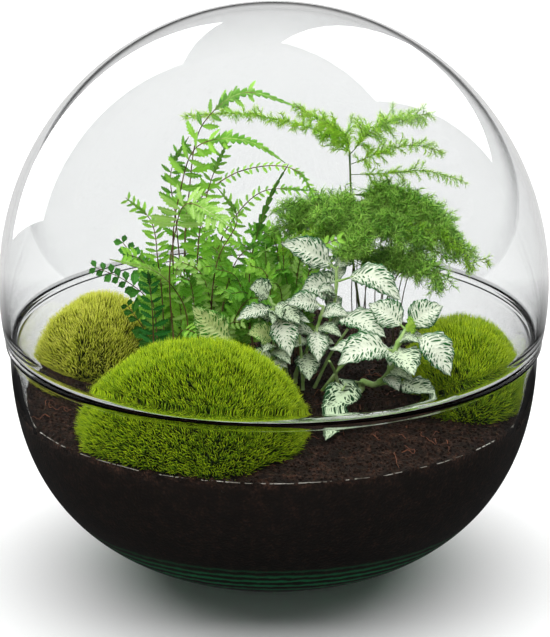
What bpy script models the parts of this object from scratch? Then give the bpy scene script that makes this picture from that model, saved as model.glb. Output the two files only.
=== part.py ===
"""Glass plant terrarium: a round glass bowl of soil under a lift-off glass dome.

The soil carries three moss cushions, a clump of fern fronds, a feathery asparagus fern, a nerve plant
with white-veined leaves and a small-leaved creeper. Every frond, spray, leaf and stem is a piece of its
own. The frame is in metres, +Z up, with its origin at the centre of the flat foot the bowl stands on.
"""
import math

import bmesh
import bpy
from mathutils import Vector

MM = 0.001

# Glass, in millimetres
SIDES = 40
RIM_Z = 130.0
BOWL_RADIUS = 144.8
BOWL_REACH = 135.0
BOWL_POWER = 2.5
WALL = 3.8
CAVITY_DEPTH = 121.0
BEAD_OUT = 2.4
BEAD_HEIGHT = 5.0
BEAD_ROUND = 1.5
DOME_RADIUS = 150.0
DOME_HEIGHT = 153.4
DOME_CENTRE_Z = 158.0
DOME_WALL = 3.2
BOWL_STEPS = 9
CAVITY_STEPS = 8
DOME_STEPS = 9

# Fill, in millimetres
SEAT_GAP = 0.3
SOIL_GAP = 0.5
SOIL_LINE_Z = 94.0
SOIL_MOUND = 8.0
SOIL_ROLL = 1.0
ROLL_LENGTHS = (23, 27)
SOIL_EDGE_DROP = 6.0
SOIL_RINGS = 6
MOSS_REACH = 137.2
MOSS_EDGE = 3.0
MOSS_SPOKES = 20
MOSS_RINGS = (0.25, 0.5, 0.7, 0.85, 0.95, 1.0)

# Plants, in millimetres
STALK_HALF = 0.6
LEAF_STALK_HALF = 0.5
BLADE_THICK = 0.8
TOOTH_NOTCH = 0.55
SPRAY_STALK_SHARE = 0.12
JOIN_GAP = 0.45
STEM_SIDES = 6
STEM_UPRIGHT = 4.0
FROND_STEPS = 20
SPRIG_STEPS = 14
SPRAY_STEPS = 14
LEAF_STEPS = 8

# Moss cushions: centre x and y, half length along x and y, height
MOSS = {
    "moss_cushion_front": ((-42, -80), (60, 55), 48),
    "moss_cushion_back_left": ((-100, 35), (36, 48), 38),
    "moss_cushion_right": ((106, 0), (34, 60), 34),
}

# Fern fronds: foot on the soil, the points the stalk goes through, share that is bare stalk,
# half width of the blade, the side that the blade faces
FRONDS = {
    "fern_frond_tall": ((-49, 25), [(-47, 20, 198), (-37, 8, 247), (-14, -8, 267), (13, -20, 262)],
                        0.50, 11, (0, -0.8, 0.6)),
    "fern_frond_broad": ((-53, 15), [(-52, 10, 202), (-40, -5, 237), (-9, -25, 243), (6, -32, 235)],
                         0.50, 14, (0, -0.7, 0.7)),
    "fern_frond_curled": ((-44, 35), [(-38, 30, 199), (-17, 28, 213), (14, 20, 214), (24, 14, 197)],
                          0.45, 6, (0, -0.5, 0.86)),
    "fern_frond_right": ((-33, 40), [(-25, 38, 178), (-7, 36, 198), (24, 36, 199)],
                         0.40, 8, (0, -0.6, 0.8)),
    "fern_frond_upright": ((-14, 10), [(-10, 6, 180), (1, 2, 212), (8, 0, 225)],
                           0.35, 7, (0.2, -1, 0.1)),
    "fern_frond_left": ((-60, 4), [(-63, 0, 168), (-68, -6, 197), (-80, -10, 209)],
                        0.40, 9, (0, -1, 0.3)),
    "fern_frond_low_left": ((-47, -2), [(-51, -10, 152), (-62, -17, 168), (-88, -28, 180)],
                            0.40, 8, (-0.2, -0.8, 0.6)),
    "fern_frond_bright": ((-53, -8), [(-54, -24, 188), (-45, -40, 215), (-22, -54, 206)],
                          0.50, 11, (0.2, -0.8, 0.6)),
    "fern_frond_dark": ((-66, -12), [(-66, -14, 145), (-68, -18, 172)],
                        0.10, 8, (0, -1, 0.1)),
    "fern_frond_middle": ((-30, 18), [(-26, 12, 150), (-18, 4, 172), (-4, -2, 184)],
                          0.35, 9, (0.1, -0.9, 0.4)),
    "fern_frond_back": ((-30, 52), [(-34, 56, 150), (-44, 62, 176), (-62, 66, 188)],
                        0.40, 9, (0, -0.6, 0.8)),
}

# Creeper sprigs with small round leaves: foot, points, share of bare stalk, half width, facing
SPRIGS = {
    "creeper_sprig_left": ((-58, 26), [(-70, 24, 140), (-84, 20, 153), (-98, 15, 161)],
                           0.35, 5, (0, -0.9, 0.4)),
    "creeper_sprig_middle": ((-58, 34), [(-66, 36, 136), (-76, 38, 156), (-84, 38, 168)],
                             0.35, 5, (0, -0.9, 0.4)),
    "creeper_sprig_short": ((-60, 12), [(-72, 8, 128), (-80, 2, 143)],
                            0.30, 6, (0, -0.9, 0.4)),
}

# Asparagus fern: the wiry stems as routes from the soil, with their radius
ASPARAGUS_STEMS = {
    "asparagus_stem_main": ((50, 55), [(44, 50, 160), (43, 48, 192), (42, 45, 219)], 0.8),
    "asparagus_stem_second": ((60, 50), [(66, 44, 140), (74, 38, 158)], 0.6),
}

# Asparagus sprays: stem, share of its length, points after the stem, half width, facing
ASPARAGUS_SPRAYS = {
    "asparagus_spray_left": ("asparagus_stem_main", 1.0,
                             [(30, 38, 230), (4, 30, 241), (-20, 26, 246), (-50, 24, 245)],
                             7, (0, -0.6, 0.8)),
    "asparagus_spray_back": ("asparagus_stem_main", 0.97, [(34, 56, 226), (22, 64, 234), (12, 70, 238)],
                             8, (0, -0.5, 0.9)),
    "asparagus_spray_top": ("asparagus_stem_main", 0.985, [(56, 42, 233), (70, 36, 240), (84, 30, 245)],
                            9, (0, -0.6, 0.8)),
    "asparagus_spray_middle": ("asparagus_stem_main", 0.93, [(58, 34, 221), (76, 26, 228), (92, 18, 227)],
                               7, (0, -0.6, 0.8)),
    "asparagus_spray_low": ("asparagus_stem_main", 0.89, [(62, 42, 207), (84, 34, 211), (106, 24, 207)],
                            7, (0, -0.6, 0.8)),
    "asparagus_cloud_left": ("asparagus_stem_main", 0.72, [(30, 42, 186), (10, 34, 182)],
                             14, (0, -0.7, 0.7)),
    "asparagus_cloud_front": ("asparagus_stem_main", 0.66, [(44, 34, 182), (44, 14, 178), (40, 2, 174)],
                              14, (0, -0.5, 0.9)),
    "asparagus_cloud_right": ("asparagus_stem_main", 0.78, [(64, 42, 194), (90, 30, 188), (110, 16, 170)],
                              15, (0, -0.7, 0.7)),
    "asparagus_cloud_low": ("asparagus_stem_main", 0.48, [(58, 36, 158), (74, 22, 166), (88, 8, 160)],
                            12, (0, -0.6, 0.8)),
}

# Nerve plant: fleshy stems as routes from the soil, with their radius
NERVE_STEMS = {
    "nerve_stem_thick": ((48, -20), [(55, -30, 109), (62, -40, 120), (65, -44, 134), (71, -40, 144)], 1.8),
    "nerve_stem_tall": ((16, -6), [(25, -8, 121), (32, -8, 143), (34, -6, 156), (34, -6, 167)], 1.1),
    "nerve_stem_middle": ((12, -10), [(18, -14, 123), (24, -16, 138), (27, -16, 149)], 1.1),
    "nerve_stem_left": ((7, -12), [(5, -18, 128), (2, -20, 144), (-2, -20, 155)], 1.0),
    "nerve_stem_short": ((-1, -14), [(-1, -19, 119), (0, -22, 132)], 1.0),
    "nerve_stem_edge": ((-14, -18), [(-18, -22, 122), (-20, -23, 129)], 0.8),
}

# Nerve plant leaves: stem, share of its length, tip, half width, facing, how far the blade arches up,
# share of bare leaf stalk
NERVE_LEAVES = [
    ("nerve_stem_tall", 1.0, (4, -16, 185), 8.5, (0, -0.8, 0.6), 3, 0.12),
    ("nerve_stem_tall", 0.99, (41, 12, 172), 6.5, (0.3, -0.9, 0.5), 2, 0.12),
    ("nerve_stem_tall", 0.90, (69, -24, 155), 8, (-0.1, -0.6, 0.8), 9, 0.2),
    ("nerve_stem_tall", 0.80, (15, -15, 158), 8.5, (0, -0.7, 0.7), 3, 0.12),
    ("nerve_stem_tall", 0.62, (60, -44, 141), 9, (0, -0.5, 0.85), 4, 0.15),
    ("nerve_stem_middle", 1.0, (7, -32, 156), 6.5, (0, -0.8, 0.6), 2, 0.12),
    ("nerve_stem_middle", 0.75, (24, -36, 124), 6, (0.1, -0.65, 0.75), 3, 0.15),
    ("nerve_stem_middle", 0.45, (19, -37, 114), 7, (0, -0.6, 0.8), 2, 0.15),
    ("nerve_stem_left", 1.0, (-13, -26, 163), 7, (0, -0.8, 0.6), 2, 0.12),
    ("nerve_stem_left", 0.94, (14, -33, 145), 7, (0.2, -0.8, 0.6), 2, 0.12),
    ("nerve_stem_left", 0.84, (9, -38, 128), 8, (-0.2, -0.8, 0.55), 4, 0.1),
    ("nerve_stem_left", 0.88, (-20, -32, 147), 5, (0, -0.6, 0.8), 2, 0.12),
    ("nerve_stem_short", 1.0, (-14, -32, 139), 7, (0, -0.8, 0.6), 2, 0.1),
    ("nerve_stem_edge", 1.0, (-44, -27, 153), 9, (-0.2, -0.8, 0.6), -2, 0.15),
    ("nerve_stem_thick", 0.79, (34, -62, 132), 10, (0, -0.6, 0.8), 6, 0.1),
    ("nerve_stem_thick", 0.72, (30, -40, 133), 7, (0, -0.6, 0.8), 4, 0.15),
    ("nerve_stem_thick", 0.80, (74, -73, 130), 9.5, (0, -0.6, 0.8), 3, 0.1),
    ("nerve_stem_thick", 0.93, (94, -60, 125), 10, (0.2, -0.6, 0.8), 9, 0.28),
    ("nerve_stem_thick", 1.0, (51, -32, 156), 8.5, (0, -0.8, 0.6), 2, 0.15),
    ("nerve_stem_thick", 0.96, (91, -32, 155), 8.5, (0, -0.8, 0.6), 3, 0.2),
    ("nerve_stem_thick", 0.98, (75, -54, 153), 5, (0.9, -0.2, 0.4), 1, 0.1),
    ("nerve_stem_thick", 0.30, (88, -62, 109), 8, (0, -0.5, 0.85), 6, 0.4),
    ("nerve_stem_thick", 0.12, (27, -92, 101), 9.5, (0.1, -0.5, 0.85), 14, 0.5),
]


def inside_bowl(depth, radius, reach):
    """Radius of the bowl's rounded wall at a depth below the rim."""
    return radius * (1 - (depth / reach) ** BOWL_POWER) ** (1 / BOWL_POWER)


def wall_arc(radius, reach, lowest, steps):
    """Points down a rounded wall from the rim, evenly turned, to the depth called lowest."""
    last = math.asin((lowest / reach) ** (BOWL_POWER / 2))
    points = []
    for step in range(steps + 1):
        turn = last * step / steps
        depth = reach * math.sin(turn) ** (2 / BOWL_POWER)
        points.append((radius * math.cos(turn) ** (2 / BOWL_POWER), RIM_Z - depth))
    return points


def soil_height(x, y):
    """Height of the soil's surface: a low mound with long, shallow rolls."""
    reach = math.hypot(x, y) / BOWL_RADIUS
    roll = SOIL_ROLL * math.sin(x / ROLL_LENGTHS[0]) * math.cos(y / ROLL_LENGTHS[1]) * (1 - reach ** 2)
    return SOIL_LINE_Z + SOIL_MOUND * (1 - reach ** 2) + roll


def material(name, colour, roughness, transmission=0.0):
    mat = bpy.data.materials.new(name)
    mat.use_nodes = True
    shader = mat.node_tree.nodes["Principled BSDF"]
    shader.inputs["Base Color"].default_value = (*colour, 1)
    shader.inputs["Roughness"].default_value = roughness
    shader.inputs["Transmission Weight"].default_value = transmission
    return mat


def add_piece(name, bm, mat, smooth=True):
    """Makes a named object from a bmesh drawn in millimetres."""
    bmesh.ops.recalc_face_normals(bm, faces=bm.faces)
    bmesh.ops.scale(bm, vec=(MM, MM, MM), verts=bm.verts)
    mesh = bpy.data.meshes.new(name)
    bm.to_mesh(mesh)
    bm.free()
    mesh.materials.append(mat)
    if smooth:
        mesh.shade_smooth()
        mesh.set_sharp_from_angle(angle=math.radians(40))
    obj = bpy.data.objects.new(name, mesh)
    bpy.context.scene.collection.objects.link(obj)
    return obj


def ring_skin(bm, rings, first_cap, last_cap):
    """Joins rings of equal length with quads and closes the two ends with faces."""
    for ring, after in zip(rings, rings[1:]):
        count = len(ring)
        for i in range(count):
            j = (i + 1) % count
            bm.faces.new((ring[i], ring[j], after[j], after[i]))
    if first_cap:
        bm.faces.new(rings[0])
    if last_cap:
        bm.faces.new(rings[-1])


def fan(bm, ring, point):
    """Closes a ring with triangles to one point."""
    tip = bm.verts.new(point)
    for i, vert in enumerate(ring):
        bm.faces.new((vert, ring[(i + 1) % len(ring)], tip))


def turned_piece(name, profile, mat):
    """Turns a profile that starts and ends on the axis into a closed solid of revolution."""
    bm = bmesh.new()
    rings = []
    for radius, z in profile[1:-1]:
        ring = []
        for side in range(SIDES):
            angle = math.tau * side / SIDES
            ring.append(bm.verts.new((radius * math.cos(angle), radius * math.sin(angle), z)))
        rings.append(ring)
    ring_skin(bm, rings, False, False)
    fan(bm, rings[0], (0, 0, profile[0][1]))
    fan(bm, rings[-1], (0, 0, profile[-1][1]))
    return add_piece(name, bm, mat)


def glass_bowl(mat):
    outer = wall_arc(BOWL_RADIUS, BOWL_REACH, RIM_Z, BOWL_STEPS)[::-1]
    bead_foot = RIM_Z - BEAD_HEIGHT
    bead_radius = BOWL_RADIUS + BEAD_OUT
    outer = [point for point in outer if point[1] < bead_foot - BEAD_ROUND]
    outer[0] = (outer[0][0], 0)
    bead = [
        (inside_bowl(BEAD_HEIGHT, BOWL_RADIUS, BOWL_REACH), bead_foot),
        (bead_radius, bead_foot + BEAD_ROUND),
        (bead_radius, RIM_Z - BEAD_ROUND),
        (bead_radius - BEAD_ROUND, RIM_Z),
    ]
    inner = wall_arc(BOWL_RADIUS - WALL, CAVITY_DEPTH, CAVITY_DEPTH, CAVITY_STEPS)
    profile = [(0, 0)] + outer + bead + inner[:-1] + [(0, RIM_Z - CAVITY_DEPTH)]
    return turned_piece("glass_bowl", profile, mat)


def dome_point(turn, inset):
    return (
        (DOME_RADIUS - inset) * math.cos(turn),
        DOME_CENTRE_Z + (DOME_HEIGHT - inset) * math.sin(turn),
    )


def glass_dome(mat):
    edge_z = RIM_Z + SEAT_GAP
    profile = []
    for inset in (0, DOME_WALL):
        start = math.asin((edge_z - DOME_CENTRE_Z) / (DOME_HEIGHT - inset))
        half = []
        for step in range(DOME_STEPS + 1):
            turn = start + (math.pi / 2 - start) * step / DOME_STEPS
            half.append(dome_point(turn, inset))
        half[-1] = (0, half[-1][1])
        profile += half[::-1] if inset == 0 else half
    return turned_piece("glass_dome", profile, mat)


def soil_body(mat):
    """Fills the bowl's cavity up to the soil's surface."""
    bm = bmesh.new()
    rings = []
    depths = wall_arc(BOWL_RADIUS - WALL, CAVITY_DEPTH, CAVITY_DEPTH, CAVITY_STEPS)
    lower = [point for point in depths if point[1] < SOIL_LINE_Z - SOIL_EDGE_DROP][::-1]
    lower = [(radius - SEAT_GAP, z + SEAT_GAP) for radius, z in lower[1:]]
    top_radius = inside_bowl(RIM_Z - SOIL_LINE_Z, BOWL_RADIUS - WALL, CAVITY_DEPTH) - 2 * SEAT_GAP
    for radius, z in lower:
        rings.append([spoke_point(bm, radius, side, z) for side in range(SIDES)])
    for step in range(SOIL_RINGS):
        radius = top_radius * (1 - step / SOIL_RINGS)
        rings.append([spoke_point(bm, radius, side) for side in range(SIDES)])
    ring_skin(bm, rings, False, False)
    fan(bm, rings[0], (0, 0, RIM_Z - CAVITY_DEPTH + SEAT_GAP))
    fan(bm, rings[-1], (0, 0, soil_height(0, 0)))
    return add_piece("soil", bm, mat, smooth=False)


def spoke_point(bm, radius, side, z=None):
    """A point on one of the even spokes, on the soil's surface where no height is given."""
    angle = math.tau * side / SIDES
    x = radius * math.cos(angle)
    y = radius * math.sin(angle)
    return bm.verts.new((x, y, soil_height(x, y) if z is None else z))


def wall_distance(centre, direction):
    """How far the glass wall is from a point, along a flat direction."""
    along = centre.dot(direction)
    return -along + math.sqrt(along ** 2 + MOSS_REACH ** 2 - centre.length_squared)


def moss_cushion(name, centre, halves, height, mat):
    """A domed cushion whose underside follows the soil and whose outline stops at the glass."""
    bm = bmesh.new()
    middle = Vector(centre)
    tops = []
    floors = []
    for share in MOSS_RINGS:
        top = []
        floor = []
        for spoke in range(MOSS_SPOKES):
            angle = math.tau * spoke / MOSS_SPOKES
            direction = Vector((math.cos(angle), math.sin(angle)))
            own = 1 / math.hypot(direction.x / halves[0], direction.y / halves[1])
            spot = middle + direction * min(own, wall_distance(middle, direction)) * share
            base = soil_height(spot.x, spot.y) + SOIL_GAP
            rise = MOSS_EDGE + (height - MOSS_EDGE) * math.sqrt(max(0, 1 - share ** 2))
            floor.append(bm.verts.new((spot.x, spot.y, base)))
            top.append(bm.verts.new((spot.x, spot.y, base + rise)))
        tops.append(top)
        floors.append(floor)
    ring_skin(bm, floors + tops[::-1], False, False)
    base = soil_height(*centre) + SOIL_GAP
    fan(bm, floors[0], (centre[0], centre[1], base))
    fan(bm, tops[0], (centre[0], centre[1], base + height))
    return add_piece(name, bm, mat)


def smooth_route(points, steps):
    """Even steps along a smooth curve through all the points, as (place, direction) pairs."""
    points = [Vector(point) for point in points]
    lengths = [(after - point).length for point, after in zip(points, points[1:])]
    runs = [(after - point).normalized() for point, after in zip(points, points[1:])]
    slopes = [runs[0]]
    for i in range(1, len(runs)):
        slopes.append(runs[i - 1].lerp(runs[i], lengths[i - 1] / (lengths[i - 1] + lengths[i])))
    slopes.append(runs[-1])
    route = []
    for step in range(steps + 1):
        along = sum(lengths) * step / steps
        span = 0
        while span < len(lengths) - 1 and along > lengths[span]:
            along -= lengths[span]
            span += 1
        length = lengths[span]
        t = min(1, along / length)
        start, end = points[span], points[span + 1]
        lead, trail = slopes[span] * length, slopes[span + 1] * length
        spot = (start * (2 * t ** 3 - 3 * t ** 2 + 1) + lead * (t ** 3 - 2 * t ** 2 + t)
                + end * (3 * t ** 2 - 2 * t ** 3) + trail * (t ** 3 - t ** 2))
        slope = (start * (6 * t ** 2 - 6 * t) + lead * (3 * t ** 2 - 4 * t + 1)
                 + end * (6 * t - 6 * t ** 2) + trail * (3 * t ** 2 - 2 * t))
        route.append((spot, slope.normalized()))
    return route


def stem_piece(name, points, radius, mat, steps=9):
    """A round stem along a route."""
    bm = bmesh.new()
    rings = []
    for spot, direction in smooth_route(points, steps):
        side = direction.cross(Vector((0, 1, 0.2))).normalized()
        other = direction.cross(side)
        ring = []
        for i in range(STEM_SIDES):
            angle = math.tau * i / STEM_SIDES
            ring.append(bm.verts.new(spot + radius * (math.cos(angle) * side + math.sin(angle) * other)))
        rings.append(ring)
    ring_skin(bm, rings, True, True)
    return add_piece(name, bm, mat)


def blade_piece(name, points, facing, half_width, steps, mat):
    """A thin leaf along a route: half_width gives its half width at each share of the route."""
    bm = bmesh.new()
    rings = []
    facing = Vector(facing)
    for step, (spot, direction) in enumerate(smooth_route(points, steps)):
        side = direction.cross(facing).normalized()
        up = side.cross(direction)
        half = half_width(step / steps, step)
        ring = [spot - side * half, spot + up * BLADE_THICK / 2,
                spot + side * half, spot - up * BLADE_THICK / 2]
        rings.append([bm.verts.new(corner) for corner in ring])
    ring_skin(bm, rings, True, True)
    return add_piece(name, bm, mat, smooth=False)


def toothed(bare, widest):
    """Half width of a frond: a bare stalk, then a blade of leaflets that narrows to its tip."""
    def half_width(share, step):
        if share <= bare:
            return STALK_HALF
        t = (share - bare) / (1 - bare)
        tooth = 1.0 if step % 2 else TOOTH_NOTCH
        return STALK_HALF + (widest - STALK_HALF) * tooth * (1 - t) ** 0.5 * min(1, 4 * t)
    return half_width


def oval(bare, widest):
    """Half width of a leaf: a bare stalk, then an oval blade."""
    def half_width(share, _step):
        t = max(0, (share - bare) / (1 - bare))
        oval_share = (4 * t * (1 - t)) ** 0.6 * (1.15 - 0.3 * t)
        return LEAF_STALK_HALF + (widest - LEAF_STALK_HALF) * oval_share
    return half_width


def foot_on_soil(foot):
    return (foot[0], foot[1], soil_height(*foot) + SOIL_GAP)


def stem_route(foot, points):
    """A stem leaves the soil upright, then follows its points."""
    base = foot_on_soil(foot)
    return [base, (foot[0], foot[1], base[2] + STEM_UPRIGHT)] + points


def beside_stem(stem, share, towards):
    """The place just clear of a stem's skin where a leaf or spray is joined to it."""
    foot, points, radius = stem
    route = smooth_route(stem_route(foot, points), 100)
    spot, direction = route[round(100 * share)]
    away = Vector(towards) - spot
    if share == 1:
        return spot + direction * JOIN_GAP
    away -= away.dot(direction) * direction
    return spot + away.normalized() * (radius + JOIN_GAP)


def fronds_and_sprigs(table, mat, steps):
    for name, (foot, points, bare, widest, facing) in table.items():
        blade_piece(name, [foot_on_soil(foot)] + points, facing, toothed(bare, widest), steps, mat)


def stems(table, mat):
    for name, (foot, points, radius) in table.items():
        stem_piece(name, stem_route(foot, points), radius, mat)


def asparagus_sprays(mat):
    for name, (stem, share, points, widest, facing) in ASPARAGUS_SPRAYS.items():
        start = beside_stem(ASPARAGUS_STEMS[stem], share, points[0])
        blade_piece(name, [start] + points, facing, toothed(SPRAY_STALK_SHARE, widest), SPRAY_STEPS, mat)


def nerve_leaves(mat):
    for number, row in enumerate(NERVE_LEAVES, start=1):
        stem, share, tip, widest, facing, arch, bare = row
        tip = Vector(tip)
        start = beside_stem(NERVE_STEMS[stem], share, tip)
        middle = (start + tip) / 2 + Vector((0, 0, arch))
        name = f"nerve_leaf_{number:02d}"
        blade_piece(name, [start, middle, tip], facing, oval(bare, widest), LEAF_STEPS, mat)


def main():
    for obj in list(bpy.data.objects):
        bpy.data.objects.remove(obj, do_unlink=True)
    clear = material("clear_glass", (0.86, 0.92, 0.90), 0.02, transmission=1.0)
    earth = material("dark_soil", (0.035, 0.022, 0.016), 0.95)
    moss = material("cushion_moss", (0.20, 0.36, 0.03), 0.9)
    fern = material("fern_green", (0.14, 0.38, 0.06), 0.6)
    creeper = material("creeper_green", (0.03, 0.12, 0.03), 0.5)
    feather = material("asparagus_green", (0.22, 0.50, 0.07), 0.7)
    white_vein = material("nerve_leaf", (0.62, 0.74, 0.58), 0.5)
    fleshy = material("nerve_stem", (0.35, 0.48, 0.16), 0.5)

    glass_bowl(clear)
    glass_dome(clear)
    soil_body(earth)
    for name, (centre, halves, height) in MOSS.items():
        moss_cushion(name, centre, halves, height, moss)
    fronds_and_sprigs(FRONDS, fern, FROND_STEPS)
    fronds_and_sprigs(SPRIGS, creeper, SPRIG_STEPS)
    stems(ASPARAGUS_STEMS, feather)
    asparagus_sprays(feather)
    stems(NERVE_STEMS, fleshy)
    nerve_leaves(white_vein)


main()
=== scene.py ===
"""Glass plant terrarium: a planted glass bowl under a lift-off glass dome.

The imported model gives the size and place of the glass, the soil and every plant. Here each of them gets
its finished form: turned glass with its rim bead, crumbly soil, moss made of shoots, fern fronds with
toothed leaflets, a feathery asparagus fern, and a nerve plant with netted white leaves. Sizes are in
millimetres and become metres when a mesh is made.
"""
import math
import random
from functools import partial

import bmesh
import bpy
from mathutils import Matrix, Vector, noise


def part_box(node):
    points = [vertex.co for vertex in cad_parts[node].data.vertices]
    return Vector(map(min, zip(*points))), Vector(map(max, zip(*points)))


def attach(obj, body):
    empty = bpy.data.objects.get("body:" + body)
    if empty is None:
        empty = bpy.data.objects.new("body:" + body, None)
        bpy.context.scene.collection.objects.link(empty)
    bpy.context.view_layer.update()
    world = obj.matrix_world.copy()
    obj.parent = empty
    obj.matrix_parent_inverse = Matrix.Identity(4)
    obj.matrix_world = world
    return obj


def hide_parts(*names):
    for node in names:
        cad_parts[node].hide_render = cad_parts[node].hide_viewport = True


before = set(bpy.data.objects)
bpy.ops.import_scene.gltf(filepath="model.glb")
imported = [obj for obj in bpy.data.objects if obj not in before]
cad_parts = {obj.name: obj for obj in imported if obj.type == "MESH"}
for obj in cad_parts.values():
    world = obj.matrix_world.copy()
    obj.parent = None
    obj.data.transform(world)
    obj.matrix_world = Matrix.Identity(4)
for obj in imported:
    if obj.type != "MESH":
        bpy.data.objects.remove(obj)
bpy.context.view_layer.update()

MM = 0.001
BODY = "root"

# Glass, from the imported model's boxes and the wall thicknesses it was drawn with
_, BOWL_HIGH = [Vector(corner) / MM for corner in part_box("glass_bowl")]
DOME_LOW, DOME_HIGH = [Vector(corner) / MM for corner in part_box("glass_dome")]
RIM_Z = BOWL_HIGH.z
BEAD_RADIUS = BOWL_HIGH.x
BEAD_OUT = 2.4
BEAD_ROUND = 2.2
BEAD_HEIGHT = 5.0
BOWL_RADIUS = BEAD_RADIUS - BEAD_OUT
BOWL_REACH = 135.0
BOWL_POWER = 2.5
BOWL_WALL = 3.8
CAVITY_DEPTH = 121.0
DOME_RADIUS = 150.0
DOME_CENTRE_Z = 158.0
DOME_RISE = DOME_HIGH.z - DOME_CENTRE_Z
DOME_WALL = 3.2
DOME_EDGE_Z = DOME_LOW.z
GLASS_SIDES = 180

# Soil and moss
SOIL_LINE_Z = 94.0
SOIL_MOUND = 8.0
SOIL_ROLL = 1.0
ROLL_LENGTHS = (23, 27)
# The moist soil wets the glass, so no film of air is left between them
SOIL_PRESS = 0.12
MOSS_REACH = 136.5
SHOOT_LENGTH = 5.2
# centre, half length along x and y, height
MOSS = {
    "moss_cushion_front": ((-42, -80), (60, 55), 48),
    "moss_cushion_back_left": ((-100, 35), (36, 48), 38),
    "moss_cushion_right": ((106, 0), (34, 60), 34),
}


# ---------------------------------------------------------------- making things

def hex_colour(text):
    """An sRGB hex colour as the linear values that a shader takes."""
    channels = [int(text[i:i + 2], 16) / 255 for i in (1, 3, 5)]
    linear = [c / 12.92 if c <= 0.04045 else ((c + 0.055) / 1.055) ** 2.4 for c in channels]
    return (*linear, 1.0)


def add_to(tree, kind, *values, **settings):
    """Adds a node by the end of its kind's name, with its operation or data type after a colon.

    Values fill the open inputs in order, and a last dictionary fills inputs by name or number. A value is
    a number, an sRGB colour, a node, an output, or a list of nodes that all go into one input.
    """
    kind, _, choice = kind.partition(":")
    starts = ("GeometryNode", "FunctionNode", "ShaderNode", "Node")
    if tree.bl_idname == "ShaderNodeTree":
        starts = ("ShaderNode",)
    node = tree.nodes.new(next(start + kind for start in starts if hasattr(bpy.types, start + kind)))
    if choice:
        settings["operation" if hasattr(node, "operation") else "data_type"] = choice
    for name, value in settings.items():
        setattr(node, name, value)
    values = list(values)
    named = values.pop() if values and isinstance(values[-1], dict) else {}
    filled = list(zip([socket for socket in node.inputs if socket.enabled], values))
    filled += [(node.inputs[key], value) for key, value in named.items()]
    for socket, value in filled:
        for source in value if isinstance(value, list) else [value]:
            if isinstance(source, bpy.types.Node):
                source = next(output for output in source.outputs if output.enabled)
            if isinstance(source, bpy.types.NodeSocket):
                tree.links.new(source, socket)
            elif isinstance(source, str) and source.startswith("#"):
                socket.default_value = hex_colour(source)
            else:
                socket.default_value = source
    return node


def new_finish(name):
    mat = bpy.data.materials.new(name)
    mat.use_nodes = True
    mat.node_tree.nodes.clear()
    return mat, partial(add_to, mat.node_tree)


def in_scene(name, data):
    obj = bpy.data.objects.new(name, data)
    bpy.context.scene.collection.objects.link(obj)
    return obj


def finished(mesh, finish):
    mesh.materials.append(finish)
    return mesh


def make_mesh(name, points, faces, uvs=None, smooth=True):
    """A mesh from points in millimetres, with a leaf map where uvs gives one place for each point."""
    mesh = bpy.data.meshes.new(name)
    mesh.from_pydata([Vector(point) * MM for point in points], [], faces)
    if uvs:
        layer = mesh.uv_layers.new(name="leaf")
        for loop in mesh.loops:
            layer.data[loop.index].uv = uvs[loop.vertex_index]
    mesh.polygons.foreach_set("use_smooth", [smooth] * len(mesh.polygons))
    mesh.update()
    return mesh


def outward(mesh):
    """Turns every closed part of a mesh to face outwards."""
    bm = bmesh.new()
    bm.from_mesh(mesh)
    bmesh.ops.recalc_face_normals(bm, faces=bm.faces)
    bm.to_mesh(mesh)
    bm.free()
    return mesh


def weighted(mesh, label, values):
    """Gives every point of a mesh its value of an attribute."""
    mesh.attributes.new(label, "FLOAT", "POINT").data.foreach_set("value", values)
    return mesh


def joined(name, meshes):
    """One mesh from several, each keeping its materials."""
    parts = [in_scene(name, mesh) for mesh in meshes]
    with bpy.context.temp_override(active_object=parts[0], selected_editable_objects=parts):
        bpy.ops.object.join()
    mesh = parts[0].data
    bpy.data.objects.remove(parts[0])
    return mesh


def piece(name, mesh, replaces=()):
    """A finished piece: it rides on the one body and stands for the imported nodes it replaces."""
    obj = in_scene(name, mesh)
    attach(obj, BODY)
    if replaces:
        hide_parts(*replaces)


def routes_mesh(name, routes, **attributes):
    """Routes in millimetres as chains of edges, with one value of each attribute for every route."""
    points = [Vector(point) * MM for route in routes for point in route]
    edges = []
    start = 0
    for route in routes:
        edges += [(start + i, start + i + 1) for i in range(len(route) - 1)]
        start += len(route)
    mesh = bpy.data.meshes.new(name)
    mesh.from_pydata(points, edges, [])
    for label, values in attributes.items():
        kind = "FLOAT_VECTOR" if isinstance(values[0], (tuple, Vector)) else "FLOAT"
        data = mesh.attributes.new(label, kind, "POINT").data
        index = 0
        for route, value in zip(routes, values):
            for _ in route:
                if kind == "FLOAT":
                    data[index].value = value
                else:
                    data[index].vector = value
                index += 1
    return mesh


SOCKETS = {float: "NodeSocketFloat", int: "NodeSocketInt", "object": "NodeSocketObject",
           "material": "NodeSocketMaterial"}


def new_growth(name, inputs):
    """An empty Geometry Nodes tree with named inputs; inputs maps each name to its kind of value."""
    tree = bpy.data.node_groups.new(name, "GeometryNodeTree")
    tree.interface.new_socket("Geometry", in_out="INPUT", socket_type="NodeSocketGeometry")
    for label, kind in inputs.items():
        tree.interface.new_socket(label, in_out="INPUT", socket_type=SOCKETS[kind])
    tree.interface.new_socket("Geometry", in_out="OUTPUT", socket_type="NodeSocketGeometry")
    add = partial(add_to, tree)
    return tree, add, add("GroupInput").outputs


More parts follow.
